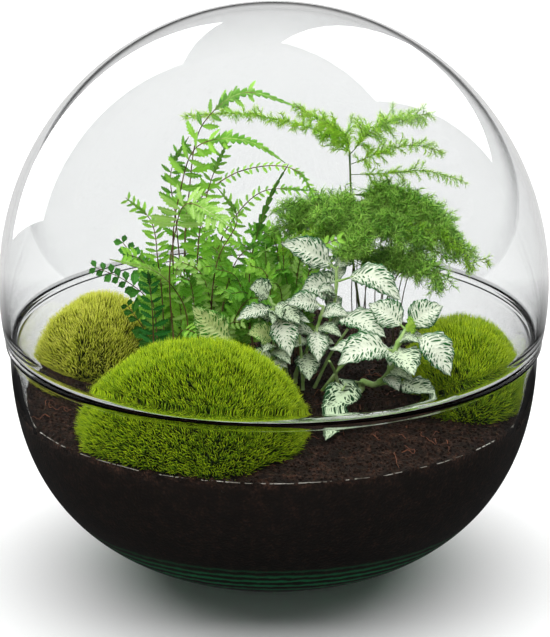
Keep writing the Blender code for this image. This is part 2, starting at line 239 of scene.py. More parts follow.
def grow(name, base, tree, **inputs):
    """Runs a tree on a base mesh and returns the result as a plain mesh."""
    obj = in_scene(name, base)
    growth = obj.modifiers.new("growth", "NODES")
    growth.node_group = tree
    values = {label.replace("_", " "): value for label, value in inputs.items()}
    for socket in tree.interface.items_tree:
        if socket.in_out == "INPUT" and socket.name in values:
            growth[socket.identifier] = values[socket.name]
    depsgraph = bpy.context.evaluated_depsgraph_get()
    mesh = bpy.data.meshes.new_from_object(obj.evaluated_get(depsgraph), preserve_all_data_layers=True,
                                           depsgraph=depsgraph)
    bpy.data.objects.remove(obj)
    return mesh


def pattern_object(name, mesh):
    """Holds a mesh for a tree to repeat; cleared away when everything has grown."""
    PATTERNS.append(in_scene(name, mesh))
    return PATTERNS[-1]


PATTERNS = []


# ---------------------------------------------------------------- forms that repeat

def inside_bowl(depth, radius, reach):
    """Radius of the bowl's rounded wall at a depth below the rim."""
    return radius * (1 - (depth / reach) ** BOWL_POWER) ** (1 / BOWL_POWER)


def bowl_inside(z):
    return inside_bowl(RIM_Z - z, BOWL_RADIUS - BOWL_WALL, CAVITY_DEPTH)


def wall_arc(radius, reach, lowest, steps):
    """Points down a rounded wall from the rim, evenly turned, to the depth called lowest."""
    last = math.asin((lowest / reach) ** (BOWL_POWER / 2))
    points = []
    for step in range(steps + 1):
        turn = last * step / steps
        depth = reach * math.sin(turn) ** (2 / BOWL_POWER)
        points.append((radius * math.cos(turn) ** (2 / BOWL_POWER), RIM_Z - depth))
    return points


def soil_height(x, y):
    reach = math.hypot(x, y) / BOWL_RADIUS
    roll = SOIL_ROLL * math.sin(x / ROLL_LENGTHS[0]) * math.cos(y / ROLL_LENGTHS[1]) * (1 - reach ** 2)
    return SOIL_LINE_Z + SOIL_MOUND * (1 - reach ** 2) + roll


def smooth_route(points, steps):
    """Even steps along a smooth curve through all the points, as (place, direction) pairs."""
    points = [Vector(point) for point in points]
    lengths = [(after - point).length for point, after in zip(points, points[1:])]
    runs = [(after - point).normalized() for point, after in zip(points, points[1:])]
    slopes = [runs[0]]
    for i in range(1, len(runs)):
        slopes.append(runs[i - 1].lerp(runs[i], lengths[i - 1] / (lengths[i - 1] + lengths[i])))
    slopes.append(runs[-1])
    route = []
    for step in range(steps + 1):
        along = sum(lengths) * step / steps
        span = 0
        while span < len(lengths) - 1 and along > lengths[span]:
            along -= lengths[span]
            span += 1
        length = lengths[span]
        t = min(1, along / length)
        start, end = points[span], points[span + 1]
        lead, trail = slopes[span] * length, slopes[span + 1] * length
        spot = (start * (2 * t ** 3 - 3 * t ** 2 + 1) + lead * (t ** 3 - 2 * t ** 2 + t)
                + end * (3 * t ** 2 - 2 * t ** 3) + trail * (t ** 3 - t ** 2))
        slope = (start * (6 * t ** 2 - 6 * t) + lead * (3 * t ** 2 - 4 * t + 1)
                 + end * (6 * t - 6 * t ** 2) + trail * (3 * t ** 2 - 2 * t))
        route.append((spot, slope.normalized()))
    return route


def places(route):
    return [spot for spot, _ in route]


def planted(foot, points, steps):
    """A stem's route: it leaves the soil upright, then follows its points."""
    base = on_soil(foot)
    return smooth_route([base, (base[0], base[1], base[2] + 5)] + points, steps)


def on_soil(foot):
    return (foot[0], foot[1], soil_height(*foot) - 1)


def circle(radius, z, sides):
    turns = [math.tau * side / sides for side in range(sides)]
    return [(radius * math.cos(angle), radius * math.sin(angle), z) for angle in turns]


def turned_faces(count, sides):
    """Faces of a closed turned form whose count of points is a pole, rings of points, then a pole."""
    faces = []
    rings = (count - 2) // sides
    last = 1 + (rings - 1) * sides
    for side in range(sides):
        after = (side + 1) % sides
        faces += [(0, 1 + after, 1 + side), (count - 1, last + side, last + after)]
        for ring in range(rings - 1):
            here = 1 + ring * sides
            faces.append((here + side, here + after, here + sides + after, here + sides + side))
    return faces


def turned(name, profile, sides=GLASS_SIDES):
    """Turns a profile that starts and ends on the axis into a closed mesh."""
    points = [(0, 0, profile[0][1])]
    for radius, z in profile[1:-1]:
        points += circle(radius, z, sides)
    points.append((0, 0, profile[-1][1]))
    return outward(make_mesh(name, points, turned_faces(len(points), sides)))


def leaf_blade(name, route, facing, half_width, across=6, thick=0.5, fold=0.25, droop=0.0, wave=0.0):
    """A closed thin leaf along a route of (place, direction) pairs.

    half_width gives the half width at each share of the route, fold lifts the two halves off the midrib,
    droop bends the edges back down, and wave ripples them. The leaf map runs along, then across.
    """
    facing = Vector(facing).normalized()
    count = len(route) - 1
    top = []
    bottom = []
    uvs = []
    for step, (spot, direction) in enumerate(route):
        side = direction.cross(facing).normalized()
        up = side.cross(direction)
        share = step / count
        width = half_width(share)
        for column in range(across + 1):
            v = 2 * column / across - 1
            lift = width * (fold * abs(v) - droop * v * v)
            ripple = wave * abs(v) ** 2 * math.sin(share * 31 + (2.1 if v > 0 else 0))
            place = spot + side * (v * width) + up * (lift + ripple)
            body = thick * (1 - abs(v) ** 3) * min(1, 6 * (1 - share)) + 0.06
            top.append(place + up * body / 2)
            bottom.append(place - up * body / 2)
            uvs.append((share, column / across))
    faces = []
    row = across + 1
    under = len(top)
    for step in range(count):
        for column in range(across):
            a = step * row + column
            faces.append((a, a + 1, a + row + 1, a + row))
            faces.append((under + a, under + a + row, under + a + row + 1, under + a + 1))
        left = step * row
        right = left + across
        faces.append((left, left + row, under + left + row, under + left))
        faces.append((right, under + right, under + right + row, right + row))
    for column in range(across):
        last = count * row + column
        faces.append((column, under + column, under + column + 1, column + 1))
        faces.append((last, last + 1, under + last + 1, under + last))
    return outward(make_mesh(name, top + bottom, faces, uvs + uvs))


def lance(share, peak):
    """Half width of a lance-shaped leaf as a share of its widest."""
    if share < peak:
        return (share / peak) ** 0.6
    return ((1 - share) / (1 - peak)) ** 0.62


def leaflet(name, length, half, teeth, depth, fold=0.22, thick=0.25, peak=0.3):
    """One small toothed leaflet lying along +Y, facing up, with a map that runs along, then across."""
    points = []
    uvs = []
    rows = 2 * teeth + 1
    for row in range(rows + 1):
        share = row / rows
        tooth = row % 2
        reach = 0.12 + half * lance(share, peak) * (1 if tooth else 1 - depth)
        forward = 0.8 * length / rows if tooth and row < rows else 0
        for side, across in ((-1, 0.0), (0, 0.5), (1, 1.0)):
            x = side * reach
            y = length * share
            lift = fold * abs(x) - 0.08 * (y - length / 2) ** 2 / length
            points.append((x, y + (forward if side else 0), lift))
            uvs.append((share, across))
    count = len(points)
    for row in range(rows + 1):
        points.append(Vector(points[3 * row + 1]) - Vector((0, 0, thick)))
        uvs.append((row / rows, 0.5))
    faces = []
    for row in range(rows):
        a = 3 * row
        b = a + 3
        under = count + row
        faces += [(a, a + 1, b + 1, b), (a + 1, a + 2, b + 2, b + 1)]
        faces += [(a, b, under + 1, under), (a + 2, under, under + 1, b + 2)]
    last = 3 * rows
    faces += [(0, count, 1), (1, count, 2)]
    faces += [(last, last + 1, count + rows), (last + 1, last + 2, count + rows)]
    return outward(make_mesh(name, points, faces, uvs, smooth=False))


def tube(name, route, radius, sides=8):
    """A closed round stem along (place, direction) pairs; radius gives its size at each share."""
    points = []
    for step, (spot, direction) in enumerate(route):
        side = direction.cross(Vector((0.1, 1, 0.2))).normalized()
        other = direction.cross(side)
        size = radius(step / (len(route) - 1))
        for corner in range(sides):
            angle = math.tau * corner / sides
            points.append(spot + size * (math.cos(angle) * side + math.sin(angle) * other))
    faces = [tuple(range(sides)), tuple(range(len(points) - sides, len(points)))]
    for step in range(len(route) - 1):
        for corner in range(sides):
            after = (corner + 1) % sides
            low = step * sides
            faces.append((low + corner, low + after, low + sides + after, low + sides + corner))
    uvs = [(i // sides / (len(route) - 1), i % sides / sides) for i in range(len(points))]
    return outward(make_mesh(name, points, faces, uvs))


# ---------------------------------------------------------------- growth trees

def leafy_growth():
    """Leaflets in pairs along every stalk, leaning towards its tip, and the stalk itself."""
    tree, add, given = new_growth("leafy_growth", {
        "Leaflet": "object", "Spacing": float, "Bare": float, "Last": float, "Tip Size": float,
        "Base Lean": float, "Tip Lean": float, "Droop": float, "Wobble": float, "Stalk Radius": float,
        "Stalk Taper": float, "Seed": int, "Leaflet Finish": "material", "Stalk Finish": "material"})
    curve = add("MeshToCurve", given["Geometry"])
    leafy = add("TrimCurve", {"Curve": curve, 2: given["Bare"], 3: given["Last"]})
    even = add("ResampleCurve", {"Curve": leafy, "Length": given["Spacing"]}, mode="LENGTH")
    tangent = add("InputTangent")
    share = add("SplineParameter").outputs["Factor"]
    facing = add("InputNamedAttribute:FLOAT_VECTOR", {"Name": "facing"})
    reach = add("InputNamedAttribute", {"Name": "reach"})
    crossed = add("VectorMath:CROSS_PRODUCT", tangent, facing)
    side = add("VectorMath:NORMALIZE", crossed)
    up = add("VectorMath:CROSS_PRODUCT", side, tangent)
    leaflet_form = add("ObjectInfo", {"Object": given["Leaflet"]}).outputs["Geometry"]
    lean = add("MapRange", share, {3: given["Base Lean"], 4: given["Tip Lean"]})
    size = add("MapRange", share, {3: 1.0, 4: given["Tip Size"]})
    forward = add("VectorMath:SCALE", tangent, lean)
    down = add("VectorMath:SCALE", up, given["Droop"])
    bent = add("VectorMath:SUBTRACT", forward, down)
    shake_low = add("Math:MULTIPLY", given["Wobble"], -1.0)
    pairs = []
    for number, sign in enumerate((1.0, -1.0)):
        seed = add("Math:ADD", given["Seed"], number * 7)
        outwards = add("VectorMath:SCALE", side, sign)
        shake = add("RandomValue:FLOAT_VECTOR", shake_low, given["Wobble"], {"Seed": seed})
        along = add("VectorMath:ADD", outwards, bent)
        shaken = add("VectorMath:ADD", along, shake)
        turn = add("AxesToRotation", shaken, up, primary_axis="Y", secondary_axis="Z")
        spread = add("RandomValue", 0.82, 1.12, {"Seed": seed})
        own = add("Math:MULTIPLY", spread, reach)
        scale = add("Math:MULTIPLY", own, size)
        leaflets = add("InstanceOnPoints", {"Points": even, "Instance": leaflet_form, "Rotation": turn,
                                            "Scale": scale})
        pairs.append(toned(add, leaflets, seed))
    real = add("RealizeInstances", add("JoinGeometry", pairs))
    leaves = add("SetMaterial", real, {"Material": given["Leaflet Finish"]})
    with_stalks(add, given, curve, share, 6, leaves)
    return tree


def toned(add, forms, seed):
    """Gives every form its own chance tone, for its finish to read."""
    tone = add("RandomValue", 0.0, 1.0, {"Seed": seed})
    return add("StoreNamedAttribute", {"Geometry": forms, "Name": "tone", "Value": tone},
               domain="INSTANCE")


def with_stalks(add, given, curve, share, sides, leaves):
    """Ends a tree: round stalks along the curves, thinning to their tips, joined with their leaves."""
    thin = add("MapRange", share, {3: 1.0, 4: given["Stalk Taper"]})
    ring = add("CurvePrimitiveCircle", sides, {"Radius": given["Stalk Radius"]})
    stalk = add("CurveToMesh", curve, ring, thin, {"Fill Caps": True})
    stalks = add("SetMaterial", stalk, {"Material": given["Stalk Finish"]})
    add("GroupOutput", add("JoinGeometry", [leaves, stalks]))


def needle_growth():
    """Fine needles standing out all round every twig, and the wiry twigs themselves."""
    tree, add, given = new_growth("needle_growth", {
        "Needle": "object", "Spacing": float, "Bare": float, "Forward": float, "Stalk Radius": float,
        "Stalk Taper": float, "Seed": int, "Needle Finish": "material", "Stalk Finish": "material"})
    curve = add("MeshToCurve", given["Geometry"])
    leafy = add("TrimCurve", {"Curve": curve, 2: given["Bare"], 3: 1.0})
    even = add("ResampleCurve", {"Curve": leafy, "Length": given["Spacing"]}, mode="LENGTH")
    tangent = add("InputTangent")
    share = add("SplineParameter").outputs["Factor"]
    reach = add("InputNamedAttribute", {"Name": "reach"})
    anywhere = add("RandomValue:FLOAT_VECTOR", (-1, -1, -1), (1, 1, 1), {"Seed": given["Seed"]})
    crossed = add("VectorMath:CROSS_PRODUCT", tangent, anywhere)
    outwards = add("VectorMath:NORMALIZE", crossed)
    forward = add("VectorMath:SCALE", tangent, given["Forward"])
    along = add("VectorMath:ADD", outwards, forward)
    turn = add("AxesToRotation", along, tangent, primary_axis="Y", secondary_axis="Z")
    spread = add("RandomValue", 0.6, 1.25, {"Seed": given["Seed"]})
    taper = add("MapRange", share, 0.6, 1.0, 1.0, 0.55)
    own = add("Math:MULTIPLY", spread, reach)
    scale = add("Math:MULTIPLY", own, taper)
    form = add("ObjectInfo", {"Object": given["Needle"]}).outputs["Geometry"]
    needles = add("InstanceOnPoints", {"Points": even, "Instance": form, "Rotation": turn,
                                       "Scale": scale})
    real = add("RealizeInstances", toned(add, needles, given["Seed"]))
    green = add("SetMaterial", real, {"Material": given["Needle Finish"]})
    with_stalks(add, given, curve, share, 4, green)
    return tree


def scatter_growth(name, upright):
    """Small forms scattered over a surface, turned upwards by a share and leaning by chance."""
    tree, add, given = new_growth(name, {
        "Form": "object", "Apart": float, "Density": float, "Lean": float, "Least Size": float,
        "Most Size": float, "Seed": int, "Finish": "material", "Ground Finish": "material"})
    ground = given["Geometry"]
    share = add("InputNamedAttribute", {"Name": "density"})
    spots = add("DistributePointsOnFaces", {
        "Mesh": ground, "Distance Min": given["Apart"], "Density Max": given["Density"],
        "Density Factor": share, "Seed": given["Seed"]}, distribute_method="POISSON")
    shake_low = add("Math:MULTIPLY", given["Lean"], -1.0)
    shake = add("RandomValue:FLOAT_VECTOR", shake_low, given["Lean"], {"Seed": given["Seed"]})
    lift = add("CombineXYZ", {"Z": upright})
    raised = add("VectorMath:ADD", spots.outputs["Normal"], lift)
    along = add("VectorMath:ADD", raised, shake)
    turn = add("AxesToRotation", along, shake, primary_axis="Y", secondary_axis="X")
    size = add("RandomValue", given["Least Size"], given["Most Size"], {"Seed": given["Seed"]})
    form = add("ObjectInfo", {"Object": given["Form"]}).outputs["Geometry"]
    forms = add("InstanceOnPoints", {"Points": spots.outputs["Points"], "Instance": form,
                                     "Rotation": turn, "Scale": size})
    real = add("RealizeInstances", toned(add, forms, 5))
    finished = add("SetMaterial", real, {"Material": given["Finish"]})
    bed = add("SetMaterial", ground, {"Material": given["Ground Finish"]})
    add("GroupOutput", add("JoinGeometry", [finished, bed]))
    return tree


# ---------------------------------------------------------------- finishes

def place_in(add):
    return add("TexCoord").outputs["Object"]


def mottle(add, size, detail):
    """Soft noise whose patches are size millimetres across."""
    return add("TexNoise", {"Vector": place_in(add), "Scale": 1 / (size * MM), "Detail": detail})


def own_tone(add, size, detail, low, high):
    """How bright each leaf or shoot is: its own chance tone and broad patches over the plant."""
    patches = mottle(add, size, detail)
    tone = add("Attribute", attribute_name="tone").outputs["Fac"]
    return add("MapRange", add("Math:ADD", tone, patches), low, high)


def living_skin(add, colour, through, **skin):
    """Living skin: its surface, and the share of light that glows through it."""
    names = {"spec": "Specular IOR Level", "rough": "Roughness", "relief": "Normal"}
    surface = add("BsdfPrincipled", {"Base Color": colour, **{names[key]: skin[key] for key in skin}})
    add("OutputMaterial", add("MixShader", through, surface, add("BsdfTranslucent", colour)))


def clear_glass():
    """Blown soda-lime glass, fire polished: sharp reflections and a faint green in its thick foot.

    Light that has already struck a plant or makes a shadow goes straight through, so the plants inside
    are lit as they are in a real dome.
    """
    mat, add = new_finish("blown_clear_glass")
    place = place_in(add)
    height = add("SeparateXYZ", place).outputs["Z"]
    thin = add("MapRange", height, 0.004, 0.03, 0.0, 1.0)
    tint = add("Mix:RGBA", thin, GLASS_FOOT_TINT, GLASS_TINT)
    ripple = mottle(add, GLASS_RIPPLE, 1.0)
    skin = add("Bump", {"Strength": 0.02, "Distance": 0.002, "Height": ripple})
    glass = add("BsdfPrincipled", {"Base Color": tint, "Roughness": 0.0, "IOR": 1.5,
                                   "Transmission Weight": 1.0, "Normal": skin})
    passed = add("BsdfTransparent", GLASS_SHADOW_TINT)
    path = add("LightPath")
    seen = add("MixShader", path.outputs["Is Diffuse Ray"], glass, passed)
    whole = add("MixShader", path.outputs["Is Shadow Ray"], seen, passed)
    add("OutputMaterial", whole)
    return mat


GLASS_TINT = "#eaebeb"
GLASS_FOOT_TINT = "#2f8a66"
GLASS_SHADOW_TINT = "#fafcfb"
GLASS_RIPPLE = 45.0


def potting_soil(name, dark, brown):
    """Moist potting mix of milled peat and bark: matt, near black, with brown crumbs a few mm across.

    Its lowest part carries the dark green rings that the thick bottle-green foot of the bowl shows: the
    glass's own green, with bright rings of painted light caught in that thick glass.
    """
    mat, add = new_finish(name)
    place = place_in(add)
    clumps = mottle(add, 6, 4.0)
    grains = mottle(add, 1.5, 3.0)
    tone = add("Attribute", attribute_name="tone").outputs["Fac"]
    mixed = add("Math:MULTIPLY", clumps, grains)
    shade = add("MapRange", mixed, 0.15, 0.45)
    lifted = add("Math:MAXIMUM", shade, tone)
    limited = add("Math:MULTIPLY", lifted, shade)
    height = add("SeparateXYZ", place).outputs["Z"]
    pressed = add("MapRange", height, 90 * MM, 95 * MM, 0.3, 1.0)
    showing = add("Math:MULTIPLY", limited, pressed)
    colour = add("Mix:RGBA", showing, dark, brown)
    # The bowl foot's green painted on the soil, its bright rings painted light caught in the thick glass
    low = add("MapRange", height, 22 * MM, 40 * MM, 1.0, 0.0)
    wavy = add("Math:MULTIPLY_ADD", clumps, 2.5 * MM, height)
    rings = add("Math:PINGPONG", wavy, 2.0 * MM)
    ring_glint = add("MapRange", rings, 0.7 * MM, 1.9 * MM)
    green = add("Mix:RGBA", ring_glint, "#02140c", "#0e9a5c")
    footed = add("Mix:RGBA", low, colour, green)
    rough = add("Bump", {"Strength": 0.8, "Distance": 0.0015, "Height": grains})
    earth = add("BsdfPrincipled", {"Base Color": footed, "Roughness": 0.85,
                                   "Specular IOR Level": 0.25, "Normal": rough})
    add("OutputMaterial", earth)
    return mat


def root_fibre():
    """Dry root and coir fibres: dull red-brown threads that catch the light."""
    mat, add = new_finish("coir_fibre")
    streak = mottle(add, 4, 2.0)
    colour = add("Mix:RGBA", streak, "#3a1c12", "#9a5a3c")
    fibre = add("BsdfPrincipled", {"Base Color": colour, "Roughness": 0.6})
    add("OutputMaterial", fibre)
    return mat


def moss_shoot(name, deep, green, tip):
    """Cushion moss shoots: damp soft spikes, dark between them and bright yellow-green at the tips, partly
    the moss's own colour and partly painted shade down among the shoots and painted light on the tips.
    """
    mat, add = new_finish(name)
    along = add("Attribute", attribute_name="along").outputs["Fac"]
    bright = own_tone(add, 22, 3.0, 0.35, 1.25)
    # Painted shade: each shoot darkens towards its base, down among the others
    reach = add("MapRange", along, 0.0, 0.55)
    body = add("Mix:RGBA", reach, deep, green)
    # The tips brighten: the moss's own paler tips, with painted light on them
    lit = add("MapRange", along, 0.3, 0.9)
    amount = add("Math:MULTIPLY", lit, bright)
    colour = add("Mix:RGBA", amount, body, tip)
    living_skin(add, colour, 0.35, rough=0.55, spec=0.3)
    return mat


def leaf_finish(name, deep, light, vein, ribs):
    """Thin living leaf: satin upper skin, side veins in a chevron, and light glowing through it."""
    mat, add = new_finish(name)
    leaf_map = add("UVMap", uv_map="leaf")
    parts = add("SeparateXYZ", leaf_map)
    centred = add("Math:SUBTRACT", parts.outputs["Y"], 0.5)
    off = add("Math:ABSOLUTE", centred)
    slant = add("Math:MULTIPLY", off, 1.6)
    run = add("Math:MULTIPLY", parts.outputs["X"], ribs)
    chevron = add("Math:SUBTRACT", run, slant)
    wave = add("Math:PINGPONG", chevron, 1.0)
    side_vein = add("MapRange", wave, 0.0, 0.25, 0.6, 0.0)
    midrib = add("MapRange", off, 0.02, 0.07, 1.0, 0.0)
    veins = add("Math:MAXIMUM", side_vein, midrib)
    bright = own_tone(add, 14, 3.0, 0.25, 1.2)
    skin = add("Mix:RGBA", bright, deep, light)
    colour = add("Mix:RGBA", veins, skin, vein)
    relief = add("Bump", {"Strength": 0.35, "Distance": 0.0004, "Height": veins})
    living_skin(add, colour, 0.35, rough=0.42, spec=0.4, relief=relief)
    return mat


def netted_leaf(name, ground, fleck, green_share, ribs=12):
    """Nerve plant leaf: a pale ground with white veins, flecked dark green between them.

    The flecks gather towards the edge; green_share sets how much of the leaf they cover.
    """
    mat, add = new_finish(name)
    leaf_map = add("UVMap", uv_map="leaf")
    parts = add("SeparateXYZ", leaf_map)
    centred = add("Math:SUBTRACT", parts.outputs["Y"], 0.5)
    half = add("Math:ABSOLUTE", centred)
    off = add("Math:MULTIPLY", half, 2.0)
    curl = add("Math:POWER", off, 1.35)
    slant = add("Math:MULTIPLY", curl, 0.23 * ribs)
    run = add("Math:MULTIPLY", parts.outputs["X"], ribs)
    stagger = add("Math:GREATER_THAN", centred, 0.0)
    staggered = add("Math:MULTIPLY_ADD", stagger, 0.45, run)
    chevron = add("Math:SUBTRACT", staggered, slant)
    flat = add("CombineXYZ", {"X": chevron, "Y": off, "Z": stagger})
    blotch = add("TexNoise", {"Vector": flat, "Scale": 2.6, "Detail": 3.0})
    shifted = add("Math:MULTIPLY_ADD", blotch, 0.5, chevron)
    wave = add("Math:PINGPONG", shifted, 0.5)
    gap = add("Math:MULTIPLY", wave, 2.0)
    net_scale = add("VectorMath:MULTIPLY", flat, (1.0, 2.4, 1.0))
    net = add("TexVoronoi", {"Vector": net_scale, "Scale": 1.15}, feature="DISTANCE_TO_EDGE")
    inner = add("MapRange", off, 0.05, 0.92, 1.0, 0.0)
    vein = add("MapRange", inner, {3: 0.42 - green_share, 4: 1.0 - green_share})
    thread = add("MapRange", inner, {3: 0.02, 4: 0.12})
    past_vein = add("Math:SUBTRACT", gap, vein)
    past_thread = add("Math:SUBTRACT", net, thread)
    between = add("MapRange", past_vein, 0.0, 0.14)
    cell = add("MapRange", past_thread, 0.0, 0.05)
    inside = add("Math:MULTIPLY", between, cell)
    rim = add("MapRange", off, 0.8, 0.98)
    frayed = add("MapRange", blotch, 0.42, 0.52)
    margin = add("Math:MULTIPLY", rim, frayed)
    fleckle = add("Math:MAXIMUM", inside, margin)
    midrib = add("MapRange", off, 0.03, 0.09, 0.0, 1.0)
    green = add("Math:MULTIPLY", fleckle, midrib)
    colour = add("Mix:RGBA", green, ground, fleck)
    relief = add("Bump", {"Strength": 0.5, "Distance": 0.0006, "Height": gap})
    living_skin(add, colour, 0.25, rough=0.5, spec=0.35, relief=relief)
    return mat


def stem_finish(name, low, high, gloss=0.4):
    """Living stem skin, streaked from one colour to the other."""
    mat, add = new_finish(name)
    streak = mottle(add, 9, 3.0)
    amount = add("MapRange", streak, 0.35, 0.65)
    colour = add("Mix:RGBA", amount, low, high)
    skin = add("Bump", {"Strength": 0.2, "Distance": 0.0003, "Height": streak})
    stem = add("BsdfPrincipled", {"Base Color": colour, "Roughness": gloss, "Normal": skin})
    add("OutputMaterial", stem)
    return mat


def needle_finish(name, deep, light):
    """Asparagus needles: fine soft green threads that glow where light comes through."""
    mat, add = new_finish(name)
    bright = own_tone(add, 16, 2.0, 0.3, 1.2)
    colour = add("Mix:RGBA", bright, deep, light)
    living_skin(add, colour, 0.62, rough=0.5)
    return mat


# ---------------------------------------------------------------- glass

def glass_bowl(finish):
    outer = wall_arc(BOWL_RADIUS, BOWL_REACH, RIM_Z, 60)[::-1]
    foot = outer[0][0]
    bead_foot = RIM_Z - BEAD_HEIGHT
    outer = [(foot * 0.5, 0), (foot * 0.96, 0)] + [point for point in outer[1:] if point[1] < bead_foot - 1]
    profile = [(0, 0)] + outer
    profile += [(inside_bowl(BEAD_HEIGHT, BOWL_RADIUS, BOWL_REACH) + 0.2, bead_foot)]
    for step in range(9):
        angle = math.pi * (step / 8 - 0.5)
        profile.append((BEAD_RADIUS - BEAD_ROUND + BEAD_ROUND * math.cos(angle),
                        RIM_Z - BEAD_ROUND + BEAD_ROUND * math.sin(angle)))
    lip = BOWL_RADIUS - BOWL_WALL
    profile += [(lip + 1.2, RIM_Z), (lip + 0.35, RIM_Z - 0.35)]
    inner = wall_arc(lip, CAVITY_DEPTH, CAVITY_DEPTH, 60)
    profile += [point for point in inner[1:-1] if point[1] < RIM_Z - 1.2] + [(0, RIM_Z - CAVITY_DEPTH)]
    mesh = finished(turned("glass_bowl_wall", profile), finish)
    piece("turned_glass_bowl", mesh, ["glass_bowl"])


def glass_dome(finish):
    profile = []
    start = math.asin((DOME_EDGE_Z - DOME_CENTRE_Z) / DOME_RISE)
    steps = 70
    for inset in (0, DOME_WALL):
        half = []
        for step in range(steps + 1):
            share = step / steps
            turn = start + (math.pi / 2 - start) * share
            z = DOME_CENTRE_Z + (DOME_RISE - inset) * math.sin(turn)
            radius = (DOME_RADIUS - inset) * math.cos(turn)
            if inset:
                radius -= DOME_LIP * max(0, 1 - (z - DOME_EDGE_Z) / DOME_LIP_HEIGHT) ** 0.5
            half.append((radius, z))
        half[-1] = (0, half[-1][1])
        if inset == 0:
            low = half[0]
            half[0] = (low[0] - 0.1, low[1] + 0.8)
            profile += half[::-1] + [(low[0] - 1.0, low[1])]
        else:
            profile += [(half[0][0] + 0.9, DOME_EDGE_Z)] + [point for point in half
                                                             if point[1] > DOME_EDGE_Z + 0.8]
    mesh = finished(turned("glass_dome_wall", profile), finish)
    piece("turned_glass_dome", mesh, ["glass_dome"])


DOME_LIP = 1.6
DOME_LIP_HEIGHT = 6.5


# ---------------------------------------------------------------- soil

SOIL_SIDES = 200
SOIL_RINGS = 72
ROOT_COUNT = 170


def soil(grains, fibres, line_highlight):
    """The soil: clumped on top, pressed flat against the glass below, with crumbs and fibres on it."""
    inner = wall_arc(BOWL_RADIUS - BOWL_WALL, CAVITY_DEPTH, CAVITY_DEPTH, 30)[::-1]
    lower = [(radius + SOIL_PRESS, z - SOIL_PRESS) for radius, z in inner if z < SOIL_LINE_Z - 1.5]
    edge = bowl_inside(SOIL_LINE_Z) + SOIL_PRESS
    points = [(0, 0, RIM_Z - CAVITY_DEPTH - SOIL_PRESS)]
    for radius, z in lower[1:]:
        points += circle(radius, z, SOIL_SIDES)
    density = [0.0] * len(points)
    for step in range(SOIL_RINGS):
        radius = edge * (1 - step / SOIL_RINGS) ** 0.9
        points += [(x, y, soil_height(x, y) + clumps(x, y)) for x, y, _ in circle(radius, 0, SOIL_SIDES)]
    points.append((0, 0, soil_height(0, 0)))
    density += [1.0] * (len(points) - len(density))
    faces = turned_faces(len(points), SOIL_SIDES)
    ground = weighted(outward(make_mesh("soil_ground", points, faces)), "density", density)
    crumb = pattern_object("crumb", crumb_form())
    mesh = grow("soil_with_crumbs", ground, CRUMBS, Form=crumb, Apart=2.2 * MM, Density=4.5e5, Lean=1.0,
                Least_Size=0.45, Most_Size=1.7, Seed=11, Finish=grains, Ground_Finish=grains)
    keep_inside(mesh, -SOIL_PRESS, SOIL_LINE_Z - 4)
    curls = routes_mesh("root_routes", root_routes(ROOT_COUNT))
    roots = grow("root_fibres", curls, THREADS, Radius=0.22 * MM, Finish=fibres)
    keep_inside(roots)
    piece("potting_soil_fill", mesh, ["soil"])
    # Painted highlight: a pale thread along the soil's edge at the glass, standing for the light caught
    # there
    line = grow("soil_line", routes_mesh("soil_line", soil_line_routes()), THREADS, Radius=0.3 * MM,
                Finish=line_highlight)
    piece("dew_at_soil_line", line)
    piece("coir_fibres", roots)


def soil_line_routes():
    """The broken bright line where the top of the soil meets the glass: a painted highlight of the light
    caught by the damp edge of the soil there.
    """
    chance = random.Random(31)
    routes = []
    turn = 0.0
    while turn < math.tau - 0.05:
        sweep = chance.uniform(0.02, 0.12)
        route = []
        for step in range(9):
            angle = turn + sweep * step / 8
            z = SOIL_LINE_Z + 0.9 + 0.5 * noise.noise(Vector((9 * angle, 1.7, 0.4)))
            radius = bowl_inside(z) - 0.45
            route.append((radius * math.cos(angle), radius * math.sin(angle), z))
        routes.append(route)
        turn += sweep + chance.uniform(0.002, 0.03)
    return routes


def clumps(x, y):
    big = noise.noise(Vector((x / 9, y / 9, 0.3)))
    small = noise.noise(Vector((x / 3.1, y / 3.1, 4.2)))
    return 1.5 * big + 0.8 * small


def crumb_form():
    bm = bmesh.new()
    bmesh.ops.create_icosphere(bm, subdivisions=1, radius=1)
    chance = random.Random(3)
    for vert in bm.verts:
        vert.co *= chance.uniform(0.7, 1.2)
        vert.co.z *= 0.7
    bmesh.ops.scale(bm, vec=(MM, MM, MM), verts=bm.verts)
    mesh = bpy.data.meshes.new("crumb")
    bm.to_mesh(mesh)
    bm.free()
    return mesh


def root_routes(count):
    """Loose curls of fibre lying on the soil."""
    chance = random.Random(21)
    routes = []
    while len(routes) < count:
        x, y = chance.uniform(-130, 130), chance.uniform(-130, 130)
        if math.hypot(x, y) > 130:
            continue
        heading = chance.uniform(0, math.tau)
        lift = chance.uniform(0.4, 2.5)
        curl = chance.uniform(-0.5, 0.5)
        route = []
        for step in range(chance.randint(6, 13)):
            height = soil_height(x, y) + clumps(x, y) + 0.5 + lift * math.sin(step * 0.7) ** 2
            route.append((x, y, height))
            heading += curl + chance.uniform(-0.45, 0.45)
            x += 1.4 * math.cos(heading)
            y += 1.4 * math.sin(heading)
        routes.append(route)
    return routes


def keep_inside(mesh, gap=0.4, above=0):
    """Pulls in any point that reached the bowl's wall, as the glass would press it."""
    for vert in mesh.vertices:
        z = vert.co.z / MM
        if above < z < RIM_Z:
            limit = (bowl_inside(max(z, RIM_Z - CAVITY_DEPTH + 1)) - gap) * MM
            out = math.hypot(vert.co.x, vert.co.y)
            if out > limit:
                vert.co.x *= limit / out
                vert.co.y *= limit / out


# ---------------------------------------------------------------- moss

def wall_distance(centre, direction):
    along = centre.dot(direction)
    return -along + math.sqrt(along ** 2 + MOSS_REACH ** 2 - centre.length_squared)


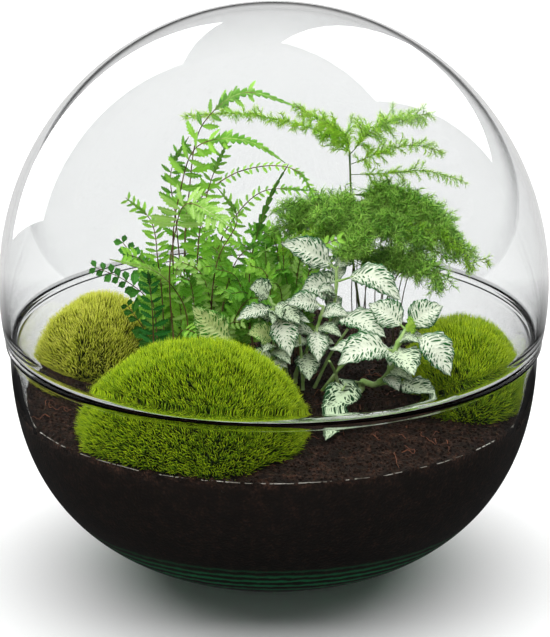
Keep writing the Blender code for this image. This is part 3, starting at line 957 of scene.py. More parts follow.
def moss_cushion(node, tuft, shoots, ground, seed):
    """A domed, slightly lumpy cushion with shoots standing all over it."""
    centre, halves, height = MOSS[node]
    middle = Vector(centre)
    spokes = 96
    rows = 34
    shares = [math.sin(math.pi / 2 * step / rows) for step in range(1, rows + 1)]
    tops = []
    floors = []
    for share in shares:
        for spoke in range(spokes):
            angle = math.tau * spoke / spokes
            direction = Vector((math.cos(angle), math.sin(angle)))
            own = 1 / math.hypot(direction.x / halves[0], direction.y / halves[1])
            wander = 1 + 0.07 * noise.noise(Vector((3 * direction.x, 3 * direction.y, seed)))
            far = min(own * wander - 2.5, wall_distance(middle, direction) - 1)
            spot = middle + direction * far * share
            base = soil_height(spot.x, spot.y) - 1.5
            lumps = 2.2 * noise.noise(Vector((spot.x / 17, spot.y / 17, seed)))
            lumps += 0.8 * noise.noise(Vector((spot.x / 6, spot.y / 6, seed)))
            rise = (height - SHOOT_LENGTH * 0.7) * (1 - share ** 2) ** 0.5
            floors.append((spot.x, spot.y, base))
            tops.append((spot.x, spot.y, base + 2.5 + rise + lumps * min(1, 4 * (1 - share))))
    base = soil_height(*centre) - 1.5
    points = floors + tops + [(*centre, base), (*centre, base + height + 2.5 - SHOOT_LENGTH * 0.7)]
    density = [0.0] * len(floors) + [1.0] * len(tops) + [0.0, 1.0]
    faces = []
    for spoke in range(spokes):
        after = (spoke + 1) % spokes
        for row in range(rows - 1):
            for start in (0, len(floors)):
                here = start + row * spokes
                faces.append((here + spoke, here + after, here + spokes + after, here + spokes + spoke))
        last = (rows - 1) * spokes
        faces.append((last + spoke, last + after, len(floors) + last + after, len(floors) + last + spoke))
        faces.append((len(points) - 2, spoke, after))
        faces.append((len(points) - 1, len(floors) + spoke, len(floors) + after))
    bed = weighted(outward(make_mesh("moss_bed", points, faces)), "density", density)
    mesh = grow(node + "_shoots", bed, SHOOTS, Form=tuft, Apart=1.05 * MM, Density=1.2e6, Lean=0.5,
                Least_Size=0.65, Most_Size=1.15, Seed=seed, Finish=shoots, Ground_Finish=ground)
    keep_inside(mesh, -SOIL_PRESS)
    piece(node.replace("cushion", "shoots"), mesh, [node])


def tuft_form():
    """Three shoots from one spot, the share along each kept as an attribute."""
    points = []
    along = []
    faces = []
    for number in range(3):
        heading = math.tau * number / 3
        lean = Vector((math.cos(heading), 0, math.sin(heading)))
        tip = Vector((0, SHOOT_LENGTH * (0.8 + 0.15 * number), 0)) + lean * 1.6
        first = len(points)
        for corner in range(3):
            angle = heading + math.tau * corner / 3
            points.append(lean * 0.25 + Vector((0.40 * math.cos(angle), -0.6, 0.40 * math.sin(angle))))
        points.append(tip)
        along += [0.0, 0.0, 0.0, 1.0]
        faces += [(first, first + 1, first + 2), (first, first + 1, first + 3),
                  (first + 1, first + 2, first + 3), (first + 2, first, first + 3)]
    return weighted(outward(make_mesh("tuft", points, faces)), "along", along)


# ---------------------------------------------------------------- ferns and creeper

# foot, points, share of bare stalk, where the leaflets end, leaflet scale, spacing, facing, tip blade's
# half width, finish
FRONDS = {
    "tall": ((-49, 25), [(-47, 20, 198), (-37, 8, 247), (-14, -8, 267), (13, -20, 262)],
        0.45, 0.86, 1.05, 9.6, (0, -0.8, 0.6), 5.0, "fresh"),
    "broad": ((-53, 15), [(-52, 10, 202), (-40, -5, 237), (-9, -25, 243), (6, -32, 235)],
        0.50, 0.80, 1.1, 9.2, (0, -0.7, 0.7), 5.8, "fresh"),
    "curled": ((-44, 35), [(-38, 30, 199), (-17, 28, 213), (14, 20, 214), (24, 14, 197)],
        0.40, 0.97, 0.5, 3.6, (0, -0.5, 0.86), 1.8, "fresh"),
    "right": ((-33, 40), [(-25, 38, 178), (-7, 36, 198), (24, 36, 199)],
        0.35, 0.97, 0.6, 4.0, (0, -0.6, 0.8), 2.0, "fresh"),
    "upright": ((-14, 10), [(-10, 6, 180), (1, 2, 212), (8, 0, 225)],
        0.35, 0.66, 0.75, 4.5, (0.2, -1, 0.1), 3.3, "dark"),
    "left": ((-60, 4), [(-63, 0, 168), (-68, -6, 197), (-80, -10, 209)],
        0.40, 0.98, 0.72, 3.6, (0, -1, 0.3), 1.8, "fresh"),
    "low_left": ((-47, -2), [(-51, -10, 152), (-62, -17, 168), (-88, -28, 180)],
        0.40, 0.62, 0.6, 6.0, (-0.2, -0.8, 0.6), 4.2, "pale"),
    "bright": ((-53, -8), [(-54, -24, 188), (-45, -40, 215), (-22, -54, 206)],
        0.68, 0.95, 1.1, 3.6, (0.2, -0.8, 0.6), 5.5, "pale"),
    "dark": ((-66, -12), [(-66, -14, 145), (-68, -18, 172)],
        0.12, 0.97, 0.85, 4.6, (0, -1, 0.1), 2.0, "shade"),
    "middle": ((-30, 18), [(-26, 12, 150), (-18, 4, 172), (-4, -2, 184)],
        0.35, 0.96, 0.8, 6.0, (0.1, -0.9, 0.4), 2.4, "dark"),
    "beside": ((-42, 24), [(-40, 16, 186), (-34, 6, 214), (-24, -2, 240)],
        0.42, 0.95, 0.8, 5.4, (0.1, -0.8, 0.5), 2.6, "fresh"),
    "behind": ((-48, 32), [(-54, 26, 186), (-56, 18, 216), (-46, 8, 238)],
        0.38, 0.95, 0.85, 6.4, (-0.1, -0.8, 0.5), 2.6, "dark"),
    "inner": ((-36, 16), [(-30, 8, 170), (-20, -2, 196), (-30, -10, 214)],
        0.35, 0.95, 0.75, 5.4, (0, -0.8, 0.6), 2.4, "fresh"),
    "back": ((-30, 52), [(-34, 56, 150), (-44, 62, 176), (-62, 66, 188)],
        0.40, 0.96, 0.75, 5.5, (0, -0.6, 0.8), 2.2, "dark"),
}

SPRIGS = {
    "left": ((-58, 26), [(-70, 24, 140), (-84, 20, 153), (-98, 15, 161)]),
    "middle": ((-58, 34), [(-66, 36, 136), (-76, 38, 156), (-84, 38, 168)]),
    "short": ((-60, 12), [(-72, 8, 128), (-80, 2, 143)]),
}


FROND_STEPS = 120


def fern_fronds(leaves, stipe):
    leaf = pattern_object("fern_leaflet", leaflet("fern_leaflet", 13.5, 3.1, 6, 0.46, peak=0.45))
    for number, (name, row) in enumerate(FRONDS.items()):
        foot, points, bare, last, scale, spacing, facing, blade, shade = row
        route = smooth_route([on_soil(foot)] + points, FROND_STEPS)
        bones = routes_mesh(name, [places(route)], facing=[facing], reach=[scale])
        grown = grow(name, bones, LEAFY, Leaflet=leaf, Spacing=spacing * MM, Bare=bare, Last=last,
                     Tip_Size=0.5, Base_Lean=0.12, Tip_Lean=0.8, Droop=0.2, Wobble=0.26,
                     Stalk_Radius=0.55 * MM, Stalk_Taper=0.35, Seed=number, Leaflet_Finish=leaves[shade],
                     Stalk_Finish=stipe)
        tip_from = round(FROND_STEPS * (last - 0.12 if last > 0.8 else last - 0.04))
        lobes = 13 if blade > 4 else 9
        fine = smooth_route(places(route[tip_from:-3:6]) + [route[-1][0]], 12 * lobes)
        tip = leaf_blade("frond_tip", fine, facing, lobed(blade, lobes), across=4, thick=0.3)
        mesh = joined(name, [grown, finished(tip, leaves[shade])])
        piece("fern_leaf_" + name, mesh, carried_from("fern_frond_" + name))


def carried_from(node):
    """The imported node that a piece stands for, where there is one of that name."""
    return [node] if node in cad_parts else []


def lobed(widest, lobes):
    """Half width of a frond's tip, where its last leaflets run together."""
    def half_width(share):
        saw = (share * lobes) % 1
        rise = min(1, 5 * share)
        return 0.12 + widest * rise * (1 - share) ** 0.9 * (0.30 + 0.70 * saw ** 0.6)
    return half_width


def undergrowth(leaves, stipe):
    """The young fronds that crowd the foot of the clump."""
    chance = random.Random(77)
    leaf = pattern_object("young_leaflet", leaflet("young_leaflet", 8, 2.5, 4, 0.42))
    for shade, count in (("fresh", 38), ("pale", 16), ("dark", 22)):
        routes = []
        facings = []
        reaches = []
        for _ in range(count):
            x, y = chance.uniform(-64, 14), chance.uniform(4, 50)
            height = chance.uniform(34, 78)
            out_x, out_y = chance.uniform(-22, 26), chance.uniform(-26, 8)
            base = soil_height(x, y)
            points = [(x, y, base - 1), (x + 0.2 * out_x, y + 0.2 * out_y, base + 0.6 * height),
                      (x + 0.6 * out_x, y + 0.6 * out_y, base + 0.95 * height),
                      (x + out_x, y + out_y, base + height)]
            routes.append(places(smooth_route(points, 30)))
            facings.append((chance.uniform(-0.4, 0.4), -0.8, 0.6))
            reaches.append(chance.uniform(0.75, 1.3))
        bones = routes_mesh("undergrowth", routes, facing=facings, reach=reaches)
        mesh = grow("undergrowth", bones, LEAFY, Leaflet=leaf, Spacing=3.4 * MM, Bare=0.35, Last=1.0,
                    Tip_Size=0.6, Base_Lean=0.4, Tip_Lean=1.0, Droop=0.25, Wobble=0.3,
                    Stalk_Radius=0.4 * MM, Stalk_Taper=0.5, Seed=50, Leaflet_Finish=leaves[shade],
                    Stalk_Finish=stipe)
        piece("fern_undergrowth_" + shade, mesh)


def creeper(finish, stalk):
    leaf = pattern_object("creeper_leaflet", leaflet("creeper_leaflet", 9, 3.4, 2, 0.06, peak=0.5))
    for number, (name, (foot, points)) in enumerate(SPRIGS.items()):
        route = places(smooth_route([on_soil(foot)] + points, 40))
        bones = routes_mesh(name, [route], facing=[(0, -0.9, 0.4)], reach=[1.0])
        mesh = grow(name, bones, LEAFY, Leaflet=leaf, Spacing=5.0 * MM, Bare=0.3, Last=1.0, Tip_Size=0.6,
                    Base_Lean=0.3, Tip_Lean=0.9, Droop=0.1, Wobble=0.35, Stalk_Radius=0.4 * MM,
                    Stalk_Taper=0.5, Seed=80 + number, Leaflet_Finish=finish, Stalk_Finish=stalk)
        piece("creeper_leaves_" + name, mesh, ["creeper_sprig_" + name])


# ---------------------------------------------------------------- asparagus fern

ASPARAGUS_STEMS = {
    "main": ((50, 55), [(44, 50, 160), (43, 48, 192), (42, 45, 219)], 0.8),
    "second": ((60, 50), [(66, 44, 140), (74, 38, 158)], 0.6),
}
# share of the main stem, points after it, twigs, twig length, needle length, kind
SPRAYS = {
    "spray_left": (1.0, [(30, 38, 230), (4, 30, 241), (-20, 26, 246), (-50, 24, 245)], 80, 9, 4.2, "bright"),
    "spray_back": (0.97, [(34, 56, 226), (22, 64, 234), (12, 70, 238)], 60, 13, 4.0, "bright"),
    "spray_top": (0.985, [(56, 42, 233), (70, 36, 240), (84, 30, 245)], 76, 16, 4.0, "bright"),
    "spray_middle": (0.93, [(58, 34, 221), (76, 26, 228), (92, 18, 227)], 52, 12, 3.6, "bright"),
    "spray_low": (0.89, [(62, 42, 207), (84, 34, 211), (106, 24, 207)], 46, 10, 3.4, "bright"),
    "cloud_left": (0.72, [(30, 42, 186), (10, 34, 182)], 60, 14, 5.2, "dark"),
    "cloud_front": (0.66, [(44, 34, 182), (44, 14, 178), (40, 2, 174)], 70, 14, 5.2, "dark"),
    "cloud_right": (0.78, [(64, 42, 194), (84, 32, 188), (98, 20, 174)], 80, 14, 5.2, "dark"),
    "fill_middle": (0.70, [(56, 36, 184), (70, 26, 182), (82, 20, 178)], 60, 13, 5.0, "dark"),
    "fill_left": (0.66, [(34, 34, 178), (20, 26, 173), (6, 22, 168)], 50, 12, 4.6, "wisp"),
    "crown": (1.0, [(40, 42, 228), (32, 38, 236), (26, 36, 240)], 24, 15, 4.0, "bright"),
    "fill_front": (0.74, [(42, 36, 190), (38, 26, 190), (34, 16, 186)], 56, 13, 5.0, "dark"),
    "wisps": (0.68, [(66, 36, 180), (96, 22, 172), (112, 14, 160)], 40, 12, 4.2, "wisp"),
    "cloud_low": (0.48, [(58, 36, 158), (74, 22, 166), (88, 8, 160)], 60, 13, 5.0, "dark"),
}


def twig_routes(route, count, length, flat, chance):
    """Side twigs along a spray: from both sides, drooping a little, shorter towards its tip."""
    routes = []
    for number in range(count):
        share = 0.12 + 0.86 * (number + chance.random()) / count
        spot, direction = route[min(len(route) - 1, round(share * (len(route) - 1)))]
        around = Vector([chance.gauss(0, 1) for _ in range(3)])
        around.z *= flat
        out = (around - around.dot(direction) * direction).normalized()
        reach = length * chance.uniform(0.45, 1.1) * (1 - 0.55 * share)
        heading = (out + direction * chance.uniform(0.3, 0.9)).normalized()
        twig = [spot]
        for step in range(6):
            heading = (heading + Vector((0, 0, -0.07))
                       + 0.12 * Vector([chance.gauss(0, 1) for _ in range(3)])).normalized()
            twig.append(twig[-1] + heading * reach / 6)
        routes.append(twig)
    return routes


def asparagus_fern(needles, wiry):
    needle = pattern_object("needle", needle_form())
    chance = random.Random(5)
    stems = {}
    for name, (foot, points, radius) in ASPARAGUS_STEMS.items():
        stems[name] = planted(foot, points, 60)
        mesh = finished(tube(name, stems[name], lambda share, size=radius: size * (1 - 0.35 * share)), wiry)
        piece("asparagus_wiry_stem_" + name, mesh, ["asparagus_stem_" + name])
    for number, (name, row) in enumerate(SPRAYS.items()):
        share, points, twigs, length, needle_length, kind = row
        route = smooth_route([stems["main"][round(60 * share)][0]] + points, 60)
        flat, branches, spacing = BUSHINESS[kind]
        routes = [places(route)] + twig_routes(route, twigs, length, flat, chance)
        if branches:
            for _ in range(branches):
                shift = Vector([chance.uniform(-spread, spread) for spread in CLOUD_SPREAD])
                beside = [Vector(point) + shift * (step + 1) / len(points)
                          for step, point in enumerate(points)]
                branch = smooth_route([route[0][0]] + beside, 60)
                routes += [places(branch)]
                routes += twig_routes(branch, twigs // 2, length, flat, chance)
            for twig in list(routes[1:]):
                routes += twig_routes(smooth_route(twig, 6), 3, length * 0.6, 1.0, chance)
        bones = routes_mesh(name, routes, reach=[needle_length] * len(routes))
        mesh = grow(name, bones, NEEDLES, Needle=needle, Spacing=spacing * MM, Bare=0.08, Forward=0.9,
                    Stalk_Radius=0.22 * MM, Stalk_Taper=0.5, Seed=number, Needle_Finish=needles[kind],
                    Stalk_Finish=wiry)
        piece("asparagus_needles_" + name, mesh, carried_from("asparagus_" + name))


CLOUD_SPREAD = (13, 12, 9)
# share of the twigs' spread up and down, side branches, millimetres between needles along a twig
BUSHINESS = {"bright": (0.45, 0, 0.25), "dark": (0.9, 6, 0.85), "wisp": (0.9, 3, 0.85)}
# Thicker than a real needle, so that the cloud can be made of fewer of them
NEEDLE_RADIUS = 0.055


def needle_form():
    """A needle one millimetre long, scaled to its length where it grows."""
    points = []
    for corner in range(3):
        angle = math.tau * corner / 3
        points.append((NEEDLE_RADIUS * math.cos(angle), 0, NEEDLE_RADIUS * math.sin(angle)))
    points.append((0, 1, 0))
    return outward(make_mesh("needle", points, [(0, 1, 2), (0, 1, 3), (1, 2, 3), (2, 0, 3)]))


BARE_STALKS = 10


def bare_stalks(wiry):
    """The thin bare stalks that carry the cloud of needles up from the soil."""
    chance = random.Random(9)
    routes = []
    for number in range(BARE_STALKS):
        x = 46 + 26 * number / (BARE_STALKS - 1)
        foot = (x + chance.uniform(-3, 3), chance.uniform(38, 56))
        top = (x + chance.uniform(-2, 10), chance.uniform(30, 46), chance.uniform(168, 184))
        middle = (0.5 * (foot[0] + top[0]) - 2, 0.5 * (foot[1] + top[1]), 140)
        routes.append(places(smooth_route([on_soil(foot), middle, top], 24)))
    mesh = grow("bare_stalks", routes_mesh("bare_stalks", routes), THREADS, Radius=0.4 * MM, Finish=wiry)
    piece("asparagus_bare_stalks", mesh)


# ---------------------------------------------------------------- nerve plant

NERVE_STEMS = {
    "thick": ((48, -20), [(55, -30, 109), (62, -40, 120), (65, -44, 134), (71, -40, 144)], 1.8),
    "tall": ((16, -6), [(25, -8, 121), (32, -8, 143), (34, -6, 156), (34, -6, 167)], 1.1),
    "middle": ((12, -10), [(18, -14, 123), (24, -16, 138), (27, -16, 149)], 1.1),
    "left": ((7, -12), [(5, -18, 128), (2, -20, 144), (-2, -20, 155)], 1.0),
    "short": ((-1, -14), [(-1, -19, 119), (0, -22, 132)], 1.0),
    "edge": ((-14, -18), [(-18, -22, 122), (-20, -23, 129)], 0.8),
}
NERVE_STEPS = 100
# stem, share of its length, tip, half width, facing, arch, share of bare stalk, finish
NERVE_LEAVES = [
    ("tall", 1.0, (4, -16, 185), 8.5, (0, -0.8, 0.6), 3, 0.12, "white"),
    ("tall", 0.99, (41, 12, 172), 6.5, (0.3, -0.9, 0.5), 2, 0.12, "white"),
    ("tall", 0.90, (69, -24, 155), 8, (-0.1, -0.6, 0.8), 9, 0.2, "white"),
    ("tall", 0.80, (15, -15, 158), 8.5, (0, -0.7, 0.7), 3, 0.12, "white"),
    ("tall", 0.62, (60, -44, 141), 9, (0, -0.5, 0.85), 4, 0.15, "white"),
    ("middle", 1.0, (7, -32, 156), 6.5, (0, -0.8, 0.6), 2, 0.12, "white"),
    ("middle", 0.75, (24, -36, 124), 6, (0.1, -0.65, 0.75), 3, 0.15, "white"),
    ("middle", 0.45, (19, -37, 114), 7, (0, -0.6, 0.8), 2, 0.15, "veined"),
    ("left", 1.0, (-13, -26, 163), 7, (0, -0.8, 0.6), 2, 0.12, "veined"),
    ("left", 0.94, (14, -33, 145), 7, (0.2, -0.8, 0.6), 2, 0.12, "veined"),
    ("left", 0.84, (9, -38, 128), 8, (-0.2, -0.8, 0.55), 4, 0.1, "white"),
    ("left", 0.88, (-20, -32, 147), 5, (0, -0.6, 0.8), 2, 0.12, "white"),
    ("short", 1.0, (-14, -32, 139), 7, (0, -0.8, 0.6), 2, 0.1, "yellow"),
    ("edge", 1.0, (-44, -27, 153), 9, (-0.2, -0.8, 0.6), -2, 0.15, "yellow"),
    ("thick", 0.79, (34, -62, 132), 10, (0, -0.6, 0.8), 6, 0.1, "white"),
    ("thick", 0.72, (30, -40, 133), 7, (0, -0.6, 0.8), 4, 0.15, "white"),
    ("thick", 0.80, (74, -73, 130), 9.5, (0, -0.6, 0.8), 3, 0.1, "veined"),
    ("thick", 0.93, (94, -60, 125), 10, (0.2, -0.6, 0.8), 9, 0.28, "white"),
    ("thick", 1.0, (51, -32, 156), 8.5, (0, -0.8, 0.6), 2, 0.15, "white"),
    ("thick", 0.96, (91, -32, 155), 8.5, (0, -0.8, 0.6), 3, 0.2, "white"),
    ("thick", 0.98, (75, -54, 153), 5, (0.9, -0.2, 0.4), 1, 0.1, "young"),
    ("thick", 0.30, (88, -62, 109), 8, (0, -0.5, 0.85), 6, 0.4, "veined"),
    ("thick", 0.12, (27, -92, 101), 9.5, (0.1, -0.5, 0.85), 14, 0.5, "dark"),
]


# stem, how many small extra leaves crowd its upper part, finish
NERVE_CROWD = [
    ("tall", 7, "veined"),
    ("middle", 7, "veined"),
    ("left", 8, "dark"),
    ("short", 5, "veined"),
    ("thick", 7, "veined"),
]
# Pale side stems: foot, top
NERVE_SIDE_STEMS = [
    ((22, -16), (40, -22, 138)),
    ((26, -20), (48, -34, 130)),
    ((16, -20), (14, -26, 136)),
    ((30, -14), (52, -18, 140)),
    ((4, -8), (-8, -16, 142)),
    ((36, -18), (30, -34, 124)),
]


def ovate(widest):
    """Half width of a nerve plant leaf: round base, pointed tip, faintly toothed edge."""
    def half_width(share):
        if share < 0.4:
            form = math.sin(math.pi / 2 * share / 0.4) ** 0.8
        else:
            form = math.cos(math.pi / 2 * (share - 0.4) / 0.6) ** 1.1
        return 0.25 + widest * form * (0.94 + 0.1 * (share * 13 % 1))
    return half_width


def nerve_plant(leaves, fleshy):
    stems = {}
    for name, (foot, points, radius) in NERVE_STEMS.items():
        stems[name] = planted(foot, points, NERVE_STEPS)
        joints = lambda share, size=radius: size * (1 - 0.25 * share
                                                    + 0.28 * math.exp(-((share * 4 % 1 - 0.5) / 0.09) ** 2))
        mesh = finished(tube(name, stems[name], joints, sides=16), fleshy)
        piece("nerve_fleshy_stem_" + name, mesh, ["nerve_stem_" + name])
    for number, row in enumerate(NERVE_LEAVES, start=1):
        stem, share, tip, widest, facing, arch, bare, finish = row
        start = stems[stem][round(NERVE_STEPS * share)][0]
        tip = Vector(tip)
        middle = (start + tip) / 2 + Vector((0, 0, arch))
        route = smooth_route([start, middle, tip], 40)
        split = round(40 * bare)
        blade = leaf_blade("nerve_blade", smooth_route([route[split][0], middle, tip], 52), facing,
                           ovate(widest), across=12, thick=0.45, fold=0.42, droop=0.24, wave=0.8)
        stalk = tube("nerve_stalk", route[:split + 3], lambda share: 0.8 - 0.35 * share)
        mesh = joined("nerve_leaf", [finished(blade, leaves[finish]), finished(stalk, fleshy)])
        piece(f"netted_leaf_{number:02d}", mesh, [f"nerve_leaf_{number:02d}"])


def nerve_crowd(leaves, fleshy):
    """The small leaves and pale side stems that crowd between the larger leaves."""
    chance = random.Random(41)
    bunches = {}
    for stem, count, finish in NERVE_CROWD:
        foot, points, _ = NERVE_STEMS[stem]
        route = smooth_route([on_soil(foot)] + points, NERVE_STEPS)
        for _ in range(count):
            start = route[round(NERVE_STEPS * chance.uniform(0.45, 0.98))][0]
            heading = chance.uniform(0, math.tau)
            length = chance.uniform(13, 21)
            out = Vector((math.cos(heading), math.sin(heading), chance.uniform(-0.25, 0.45))).normalized()
            tip = start + out * length
            middle = (start + tip) / 2 + Vector((0, 0, 2.5))
            facing = (-0.3 * out.x, -0.6 - 0.2 * out.y, 0.8)
            blade = leaf_blade("small_blade", smooth_route([start, middle, tip], 30), facing,
                               ovate(chance.uniform(3.6, 5.4)), across=8, thick=0.35, fold=0.42, droop=0.24,
                               wave=0.4)
            shade = finish if chance.random() < 0.6 else "white"
            bunches.setdefault(stem, []).append(finished(blade, leaves[shade]))
    for stem, blades in bunches.items():
        piece("small_netted_leaves_" + stem, joined("small_leaves", blades))
    stalks = []
    for foot, top in NERVE_SIDE_STEMS:
        start = Vector(on_soil(foot))
        top = Vector(top)
        middle = start.lerp(top, 0.5) + Vector((0, 0, 3))
        stalk = tube("side_stem", smooth_route([start, middle, top], 30), lambda share: 1.0 - 0.3 * share)
        stalks.append(finished(stalk, fleshy))
    piece("fleshy_side_stems", joined("side_stems", stalks))


# ---------------------------------------------------------------- stage, light and camera

def floor():
    """White paper, left out of the glass's reflections: there it shows a painted reflection instead, a glow
    near black close behind the glass and pale further back.
    """
    mat, add = new_finish("white_paper_floor")
    place = place_in(add)
    tooth = add("TexNoise", {"Vector": place, "Scale": 800.0})
    colour = add("Mix:RGBA", tooth, "#f4f4f4", "#f8f8f8")
    paper = add("BsdfPrincipled", {"Base Color": colour, "Roughness": 0.7,
                                   "Specular IOR Level": 0.2})
    # Painted reflection: seen in the glass, the floor glows dark close by and pale further back
    depth = add("SeparateXYZ", place).outputs["Y"]
    shade = add("MapRange", depth, *REFLECTED_GLOW_DEPTHS, *REFLECTED_GLOW_TONES)
    reflected_glow = add("Emission", {1: shade})
    path = add("LightPath")
    mirrored = add("Math:GREATER_THAN", path.outputs["Glossy Depth"], 0.5)
    whole = add("MixShader", mirrored, paper, reflected_glow)
    add("OutputMaterial", whole)
    corners = [(-FLOOR_REACH, -FLOOR_REACH), (FLOOR_REACH, -FLOOR_REACH), (FLOOR_REACH, FLOOR_REACH),
               (-FLOOR_REACH, FLOOR_REACH)]
    mesh = make_mesh("paper_floor", [(x, y, -0.2) for x, y in corners], [(0, 1, 2, 3)], smooth=False)
    obj = in_scene("paper_floor", finished(mesh, mat))
    return obj


FLOOR_REACH = 6000
# Where the floor's painted reflection lightens, in metres behind the glass, and how bright its glow is
# before and after
REFLECTED_GLOW_DEPTHS = (0.26, 0.50)
REFLECTED_GLOW_TONES = (0.02, 0.85)


def softbox(name, direction, upright, width, height, radiance, mirrored=True, distance=1.0):
    """A softbox facing the dome's centre; radiance is how bright its face is."""
    light = bpy.data.lights.new(name, "AREA")
    light.shape = "RECTANGLE"
    light.size = width
    light.size_y = height
    light.energy = radiance * math.pi * width * height
    obj = in_scene(name, light)
    away = Vector(direction).normalized()
    side = Vector(upright).cross(away).normalized()
    rise = away.cross(side)
    obj.location = Vector((0, 0, DOME_CENTRE_Z * MM)) + away * distance
    obj.rotation_mode = "QUATERNION"
    turn = bpy.context.scene.cursor.matrix.to_3x3()
    turn.col[0], turn.col[1], turn.col[2] = side, rise, away
    obj.rotation_quaternion = turn.to_quaternion()
    obj.visible_camera = False
    obj.visible_transmission = False
    obj.visible_glossy = mirrored
    obj.visible_diffuse = not mirrored
    return obj


def studio(paper):
    world = bpy.data.worlds.new("studio_white")
    world.use_nodes = True
    tree = world.node_tree
    add = partial(add_to, tree)
    heading = add("TexCoord").outputs["Generated"]
    parts = add("SeparateXYZ", heading)
    behind = add("MapRange", parts.outputs["Y"], -0.1, 0.5, 0.02, 0.8)
    above = add("MapRange", parts.outputs["Z"], 0.0, 0.1, 0.02, 1.0)
    sheen = add("Math:MULTIPLY", behind, above)
    path = add("LightPath")
    mirrored = add("Math:GREATER_THAN", path.outputs["Glossy Depth"], 0.5)
    seen = add("Mix", mirrored, 0.95, sheen)
    fill = add("Mix", path.outputs["Is Diffuse Ray"], seen, FILL_LIGHT)
    tree.links.new(fill.outputs[0], tree.nodes["Background"].inputs["Strength"])
    tree.nodes["Background"].inputs["Color"].default_value = (1, 1, 1, 1)
    world.cycles.sampling_method = "NONE"
    bpy.context.scene.world = world
    softbox("left_softbox", (-0.615, 0.700, 0.368), (0.66, 0.08, 0.745), 0.54, 0.98, 4.0)
    softbox("right_softbox", (0.465, 0.637, 0.613), (-0.376, -0.496, 0.784), 0.68, 0.86, 4.0)
    softbox("overhead_panel", (0, 0.35, 1), (0, 1, 0), 7.0, 6.0, 2.55, mirrored=False, distance=3.0)
    front = softbox("front_softbox", (-0.25, -0.7, 0.85), (0, 0.7, 0.7), 1.0, 1.0, 3.8, mirrored=False)
    shaded = bpy.data.collections.new("not_lit_from_the_front")
    shaded.objects.link(paper)
    shaded.collection_objects[0].light_linking.link_state = "EXCLUDE"
    front.light_linking.receiver_collection = shaded


FILL_LIGHT = 0.15


CAMERA_AIM_Z = 160.0


def camera():
    """A long lens a little above level, aimed at the seam between bowl and dome."""
    distance = 2.0
    rise = math.radians(18.48)
    aim = Vector((0, 0, CAMERA_AIM_Z * MM))
    lens = bpy.data.cameras.new("camera")
    lens.sensor_width = 36
    lens.sensor_fit = "VERTICAL"
    lens.sensor_height = 36
    lens.lens = 206.84
    lens.shift_x = 0.0019
    lens.shift_y = -0.0636
    lens.clip_end = 50
    obj = in_scene("camera", lens)
    obj.location = aim + distance * Vector((0, -math.cos(rise), math.sin(rise)))
    obj.rotation_euler = (aim - obj.location).to_track_quat("-Z", "Y").to_euler()
    bpy.context.scene.camera = obj
    bpy.context.scene.view_settings.view_transform = "Standard"


# ---------------------------------------------------------------- the terrarium

def threads_growth():
    """Plain round threads along every route."""
    tree, add, given = new_growth("thread_growth", {"Radius": float, "Finish": "material"})
    curve = add("MeshToCurve", given["Geometry"])
    share = add("SplineParameter").outputs["Factor"]
    thin = add("MapRange", share, {3: 1.0, 4: 0.6})
    ring = add("CurvePrimitiveCircle", 5, {"Radius": given["Radius"]})
    thread = add("CurveToMesh", curve, ring, thin, {"Fill Caps": True})
    real = add("RealizeInstances", thread)
    finished = add("SetMaterial", real, {"Material": given["Finish"]})
    add("GroupOutput", finished)
    return tree


LEAFY = leafy_growth()
NEEDLES = needle_growth()
SHOOTS = scatter_growth("shoot_growth", 0.55)
CRUMBS = scatter_growth("crumb_growth", 0.0)
THREADS = threads_growth()


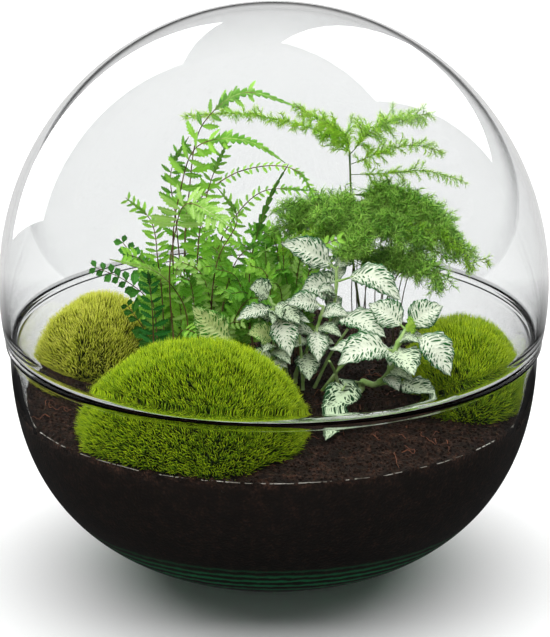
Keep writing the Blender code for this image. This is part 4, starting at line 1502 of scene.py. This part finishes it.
def main():
    glass = clear_glass()
    glass_bowl(glass)
    glass_dome(glass)
    # The pale thread at the soil line is a painted highlight
    soil(potting_soil("moist_potting_soil", "#15100d", "#4a3024"), root_fibre(),
         stem_finish("painted_soil_line_highlight", "#5d554c", "#cbc5bd", gloss=0.25))
    tuft = pattern_object("tuft", tuft_form())
    # The near-black bed between the shoots is painted shade down in the cushion
    bed = moss_shoot("moss_bed", "#141c05", "#26360a", "#33460c")
    green = moss_shoot("cushion_moss_green", "#0e1802", "#6c9a04", "#dcf01c")
    golden = moss_shoot("cushion_moss_golden", "#343c06", "#bcc626", "#f8f470")
    for seed, (node, shoots) in enumerate((("moss_cushion_front", green), ("moss_cushion_back_left", golden),
                                           ("moss_cushion_right", green)), start=1):
        moss_cushion(node, tuft, shoots, bed, seed)
    stipe = stem_finish("fern_stipe", "#4a2f20", "#8a6a48")
    leaves = {
        "fresh": leaf_finish("fern_leaf_fresh", "#44981a", "#b2ea54", "#c4f07c", 9),
        "pale": leaf_finish("fern_leaf_pale", "#8cc63f", "#c3ea7a", "#dcf5a8", 14),
        # Painted shade: darker copies of the fern leaf for the fronds behind and below the others
        "dark": leaf_finish("fern_leaf_dark", "#24701a", "#84cc3c", "#a2d862", 9),
        "shade": leaf_finish("fern_leaf_deep_painted_shade", "#12501c", "#368c34", "#4c9c4c", 9),
    }
    fern_fronds(leaves, stipe)
    undergrowth(leaves, stipe)
    creeper(leaf_finish("creeper_leaf", "#1c5a20", "#5aa640", "#74b858", 5), stipe)
    wiry = stem_finish("asparagus_wiry_stem", "#3f6a1e", "#6f7a3a")
    # The bright needles on the top sprays: partly their own yellower green, partly painted light for the
    # strong light there
    asparagus_fern({"bright": needle_finish("asparagus_needle_painted_light", "#aef22c", "#e2ff6a"),
                    "wisp": needle_finish("asparagus_needle_wisp", "#86d22c", "#dcff5a"),
                    "dark": needle_finish("asparagus_needle_dark", "#40b432", "#dcff88")}, wiry)
    bare_stalks(stem_finish("asparagus_bare_stalk", "#4a4030", "#7a7256"))
    netted = {
        "white": netted_leaf("nerve_leaf_white", "#f8fbe8", "#1d6a2a", 0.42),
        "veined": netted_leaf("nerve_leaf_veined", "#ecf6d8", "#165220", 0.52),
        "dark": netted_leaf("nerve_leaf_dark", "#dcecc8", "#0c421a", 0.62),
        "yellow": netted_leaf("nerve_leaf_yellow", "#e4f0a4", "#559a30", 0.44),
        "young": netted_leaf("nerve_leaf_young", "#c8e85a", "#6fae2c", 0.30),
    }
    fleshy = stem_finish("nerve_plant_stem", "#7fa848", "#c2da94")
    nerve_plant(netted, fleshy)
    nerve_crowd(netted, fleshy)
    studio(floor())
    camera()
    for obj in PATTERNS:
        bpy.data.objects.remove(obj)


main()
